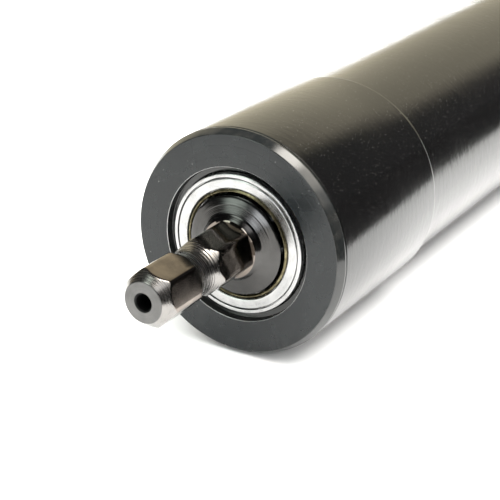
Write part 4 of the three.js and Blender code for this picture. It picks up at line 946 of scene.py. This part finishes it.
def head_body():
    """The moulded head: spigot, journal for the crown ring, and a block with two flats."""
    journal_front = CROWN_STEP + GAP
    body = turned("head", rounded([
        (WIRE_BORE, HEAD.start, 0.4), (SPIGOT_RADIUS, HEAD.start, 0.8),
        (SPIGOT_RADIUS, journal_front, 0), (CROWN_JOURNAL, journal_front, 0),
        (CROWN_JOURNAL, HEAD_FRONT, 0), (HEAD_RADIUS, HEAD_FRONT, 0.8),
        (HEAD_RADIUS, HEAD.end, 0.35), (WIRE_BORE, HEAD.end, 0),
    ]), [BLACK_PLASTIC], outline=head_outline)
    tools = [socket_tool(COVER.end - SOCKET_DEPTH, HEAD.end + 1)]
    for side in (-1, 1):
        tools += pinion_tools(side)
    for direction in ("up", "down"):
        screw = Place(f"{direction}_adjusting_screw")
        tools.append(hole_tool(screw, screw.radius + GAP, screw.start - 1.5, HEAD.end))
    for side in ("left", "right"):
        screw = Place(f"{side}_cover_screw")
        tools.append(hole_tool(screw, SCREW_HOLE, screw.start - 2, HEAD.end))
    return smooth(cut(body, *tools, *gland_tools()))


def head_cover():
    """The cover plate, pressed down until only a hairline seam is left around the head."""
    start = HEAD.end + SEAM
    cover = turned("cover", rounded([
        (0, start, 0), (HEAD_RADIUS, start, 0.3), (HEAD_RADIUS, COVER.end, 0.9), (0, COVER.end, 0),
    ]), [BLACK_PLASTIC], outline=head_outline)
    below = COVER.start - 1
    tools = [socket_tool(below, COVER.end)]
    for direction in ("up", "down"):
        screw = Place(f"{direction}_adjusting_screw")
        tools.append(hole_tool(screw, screw.radius + GAP, below, COVER.end, segments=48))
    for side in ("left", "right"):
        screw = Place(f"{side}_cover_screw")
        seat = screw.end - SCREW_HEAD_DEPTH
        tools.append(hole_tool(screw, SCREW_HOLE, below, COVER.end))
        tools.append(hole_tool(screw, screw.radius + GAP, seat, COVER.end, segments=48))
    return smooth(cut(cover, *tools))


def adjusting_screw(direction, finish):
    """A plastic screw with a hexagon socket and a ribbed rim, which a key turns to set a limit."""
    place = Place(f"{direction}_adjusting_screw")
    ribs = 12

    def outline(angle, radius, along):
        if radius < place.radius - 0.3 or along > place.end - 0.5:
            return radius
        return radius - 0.12 * max(0, math.cos(angle * ribs))

    body = turned(f"{direction}_adjuster_screw", rounded([
        (0, place.start, 0), (place.radius, place.start, 0.4), (place.radius, place.end - 0.6, 0),
        (place.radius, place.end, 0.35), (0, place.end, 0),
    ]), [finish], segments=96, outline=outline)
    shift(body, place.across, up=place.height)
    key_half = 1.5
    hexagon = circle(key_half / math.cos(math.pi / 6), 6, place.across, place.height, math.pi / 2)
    return smooth(cut(body, prism("tool", hexagon, place.end - 4, place.end + 1)))


def cover_screw(side):
    """A cross-recessed pan-head screw."""
    place = Place(f"{side}_cover_screw")
    head_start = place.end - 1.5
    shank = 1.6
    body = turned(f"{side}_cover_bolt", rounded([
        (0, place.start, 0), (shank - 0.5, place.start, 0.2), (shank, place.start + 1, 0),
        (shank, head_start, 0), (place.radius, head_start, 0.1),
        (place.radius, place.end - 0.35, 0.25), (place.radius - 0.8, place.end, 0.4),
        (0, place.end, 0),
    ]), [BRIGHT_SCREW], segments=SMALL_SEGMENTS)
    shift(body, place.across, up=place.height)
    tools = []
    for wide, high in ((1.6, 0.35), (0.35, 1.6)):
        slot = rounded_rectangle(wide, high, 0.15, 2)
        outline = [(place.across + x, place.height + z) for x, z in slot]
        tools.append(prism("tool", outline, place.end - 0.9, place.end + 1))
    return smooth(cut(body, *tools))


def tube_screw(side, sign):
    """A low-headed screw through the tube's wall, with a cross recess."""
    place = Place(f"{side}_tube_screw")
    outer = max(abs(place.left), abs(place.right))
    inner = min(abs(place.left), abs(place.right))
    head = place.length / 2
    shank = 1.4
    under_head = outer - 0.7
    body = turned(f"{side}_tube_bolt", rounded([
        (0, inner, 0), (shank, inner, 0.2), (shank, under_head, 0), (head, under_head, 0.1),
        (head - 0.5, outer, 0.3), (0, outer, 0),
    ]), [BRIGHT_SCREW], segments=SMALL_SEGMENTS)
    sideways = Matrix.Rotation(-sign * math.pi / 2, 4, "Z")
    tools = []
    for wide, high in ((1.4, 0.3), (0.3, 1.4)):
        tools.append(prism("tool", rounded_rectangle(wide, high, 0.1, 2), outer - 0.4, outer + 1))
    cut(body, *tools)
    place_on(body, in_frame(0, place.middle, 0), sideways)
    return smooth(body)


def cable_gland():
    """A rubber ring around the cable inlet, with a lip."""
    place = Place("cable_gland")
    ring = turned("gland", rounded([
        (CABLE_HOLE, place.bottom, 0.3), (place.radius, place.bottom, 0.3),
        (place.radius, place.top, 0.3), (CABLE_HOLE + 0.9, place.top, 0.3),
        (CABLE_HOLE + 0.3, place.top - 0.8, 0.3), (CABLE_HOLE, place.top - 1.6, 0.3),
    ]), [BLACK_RUBBER], segments=96)
    place_on(ring, in_frame(0, place.middle, 0), Matrix.Rotation(math.pi / 2, 4, "X"))
    return ring


stand_for(crown_ring(), "crown_ring", "crown")
stand_for(head_body(), "head_body", "housing")
stand_for(head_cover(), "head_cover", "housing")
stand_for(cable_gland(), "cable_gland", "housing")
stand_for(adjusting_screw("up", WHITE_PLASTIC), "up_adjusting_screw", "up_adjuster")
stand_for(adjusting_screw("down", YELLOW_PLASTIC), "down_adjusting_screw", "down_adjuster")
for side, sign in (("left", -1), ("right", 1)):
    stand_for(cover_screw(side), f"{side}_cover_screw", "housing")
    stand_for(tube_screw(side, sign), f"{side}_tube_screw", "housing")

# ---- Floor, light and camera ------------------------------------------------------------------

FLOOR_HALF = 4.0  # metres
PAPER_ALBEDO = 0.86
CARD_PLACE = 94  # right of the axis, with its front, back and top below
CARD_FRONT = -300
CARD_BACK = 600
CARD_TOP = 60
AZIMUTH = math.radians(30.93)  # how far the camera stands to the right of the axis
ELEVATION = math.radians(22.58)
LENS = 106.7
EYE_RIGHT = 0.125  # the camera's place, measured in radii of the cap
EYE_DOWN = 0.039
EYE_BACK = 12.378


def sheet(name, corners, finish, grey, roughness, specular):
    """A matt grey sheet that belongs to the stage, not to the motor."""
    mesh = bpy.data.meshes.new(name)
    mesh.from_pydata(corners, [], [(0, 1, 2, 3)])
    material = bpy.data.materials.new(finish)
    material.use_nodes = True
    shader = material.node_tree.nodes["Principled BSDF"]
    shader.inputs["Base Color"].default_value = (grey, grey, grey, 1)
    shader.inputs["Roughness"].default_value = roughness
    shader.inputs["Specular IOR Level"].default_value = specular
    mesh.materials.append(material)
    piece = bpy.data.objects.new(name, mesh)
    bpy.context.scene.collection.objects.link(piece)
    return piece


def floor():
    """A sheet of white paper under the motor and far around it."""
    half = FLOOR_HALF
    corners = [(-half, -half, 0), (half, -half, 0), (half, half, 0), (-half, half, 0)]
    sheet("floor", corners, "paper", PAPER_ALBEDO, roughness=0.9, specular=0.1)


class Studio(Shading):
    """The world that glossy surfaces mirror: a dim room with bright windows and walls painted in."""

    def __init__(self, dim):
        world = bpy.data.worlds.new("studio")
        bpy.context.scene.world = world
        world.use_nodes = True
        super().__init__(world.node_tree)
        self.output = self.nodes["Background"].inputs["Color"]
        self.toward = self.nodes.new("ShaderNodeTexCoord").outputs["Generated"]
        parts = self.nodes.new("ShaderNodeSeparateXYZ")
        self.links.new(self.toward, parts.inputs[0])
        self.axis = parts.outputs
        self.result = dim

    def paint(self, share, color):
        """Lays a color over what is there so far."""
        self.result = self.blend(share, self.result, color)
        self.links.new(self.result, self.output)

    def fade(self, value, low, high, to_low=0, to_high=1):
        return self.spread(value, low, high, to_low, to_high, curve="SMOOTHSTEP")

    def lamp(self, direction, reach, feather, color):
        """A round glow towards direction, reach degrees out from its middle, with a soft rim."""
        nearness = self.vector("DOT_PRODUCT", self.toward, Vector(direction).normalized(), "Value")
        inner = math.cos(math.radians(reach - feather))
        outer = math.cos(math.radians(reach + feather))
        self.paint(self.fade(nearness, outer, inner), color)

    def wall(self, color, **edges):
        """A glow over the directions whose x, y and z lie past faded edges: (from, full) pairs."""
        share = None
        for letter, (none, full) in edges.items():
            value = self.axis["XYZ".index(letter.upper())]
            ends = (0, 1) if none < full else (1, 0)
            mask = self.fade(value, min(none, full), max(none, full), *ends)
            share = self.math("MULTIPLY", share, mask) if share else mask
        self.paint(share, color)

    def past(self, color):
        """What the camera sees beyond the floor."""
        path = self.nodes.new("ShaderNodeLightPath")
        self.paint(path.outputs["Is Camera Ray"], color)


def studio():
    """Two warm walls beyond the motor, four lamps high on the right, and three left and in front."""
    room = Studio((0.05, 0.05, 0.052))
    room.wall((1.45, 1.32, 0.98), x=(0.25, 0.0), y=(0.1, 0.5), z=(0.8, 0.55))
    room.wall((0.9, 0.82, 0.61), x=(0.25, 0.0), y=(0.85, 0.9), z=(0.8, 0.55))
    room.lamp((0.75, 0, 0.66), 12, 10, (1.6, 1.56, 1.5))
    room.lamp((0.54, 0, 0.84), 13, 9, (5.7, 5.4, 4.9))
    room.lamp((0.28, 0, 0.96), 10, 5, (18, 17.2, 15.8))
    room.lamp((0.5, -0.35, 0.79), 11, 6, (2.6, 2.6, 2.6))
    room.lamp((-0.25, -0.5, 0.83), 12, 6, (4.2, 4.7, 4.3))
    room.lamp((-0.47, -0.86, 0.2), 8, 5, (4.3, 4.9, 4.5))
    room.lamp((-0.07, -0.99, 0.1), 6, 4, (8.6, 9, 9.4))
    room.past((1.2, 1.2, 1.2))


def hidden_from_gloss(light):
    """Keeps a light out of the reflections, so that it only brightens matt surfaces."""
    light.visible_camera = False
    light.visible_glossy = False
    bpy.context.scene.collection.objects.link(light)
    return light


def sky_light(radiance):
    """Even light from all above, which makes the paper as bright as radiance."""
    data = bpy.data.lights.new("sky", "SUN")
    data.angle = math.pi
    data.energy = radiance * math.pi / PAPER_ALBEDO
    return hidden_from_gloss(bpy.data.objects.new("sky", data))


def low_light(name, across, along, height, size, radiance):
    """A square light over one place on the paper, which gets brighter there by radiance."""
    data = bpy.data.lights.new(name, "AREA")
    data.shape = "SQUARE"
    data.size = size * MM
    data.energy = radiance * math.pi / PAPER_ALBEDO * math.pi * (height * MM) ** 2
    light = bpy.data.objects.new(name, data)
    light.location = (across * MM, FACE + along * MM, height * MM)
    return hidden_from_gloss(light)


def dark_card():
    """A black card on the right, which only glossy surfaces see: it darkens the horizon in them."""
    outline = ((CARD_FRONT, 0), (CARD_BACK, 0), (CARD_BACK, CARD_TOP), (CARD_FRONT, CARD_TOP))
    corners = [(CARD_PLACE * MM, FACE + along * MM, up * MM) for along, up in outline]
    card = sheet("dark_card", corners, "black_card", 0.01, roughness=1, specular=0)
    card.visible_camera = False
    card.visible_diffuse = False
    card.visible_shadow = False


def camera():
    """Looks at the cap's face from its right, from a little above."""
    right = Vector((math.cos(AZIMUTH), math.sin(AZIMUTH), 0))
    level = math.cos(ELEVATION)
    back = Vector((math.sin(AZIMUTH) * level, -math.cos(AZIMUTH) * level, math.sin(ELEVATION)))
    up = back.cross(right)
    data = bpy.data.cameras.new("camera")
    data.lens = LENS
    eye = bpy.data.objects.new("camera", data)
    away = right * EYE_RIGHT - up * EYE_DOWN + back * EYE_BACK
    eye.location = AXIS_POINT + away * (CAP_RADIUS * MM)
    eye.rotation_mode = "QUATERNION"
    eye.rotation_quaternion = Matrix((right, up, back)).transposed().to_quaternion()
    data.clip_start = 0.01
    data.clip_end = 50
    bpy.context.scene.collection.objects.link(eye)
    bpy.context.scene.camera = eye


floor()
studio()
dark_card()
sky_light(1.1)
low_light("right_glow", 80, 60, 155, 120, 2.1)
low_light("left_glow", -40, -35, 120, 80, 0.4)
camera()
bpy.context.scene.view_settings.view_transform = "Standard"
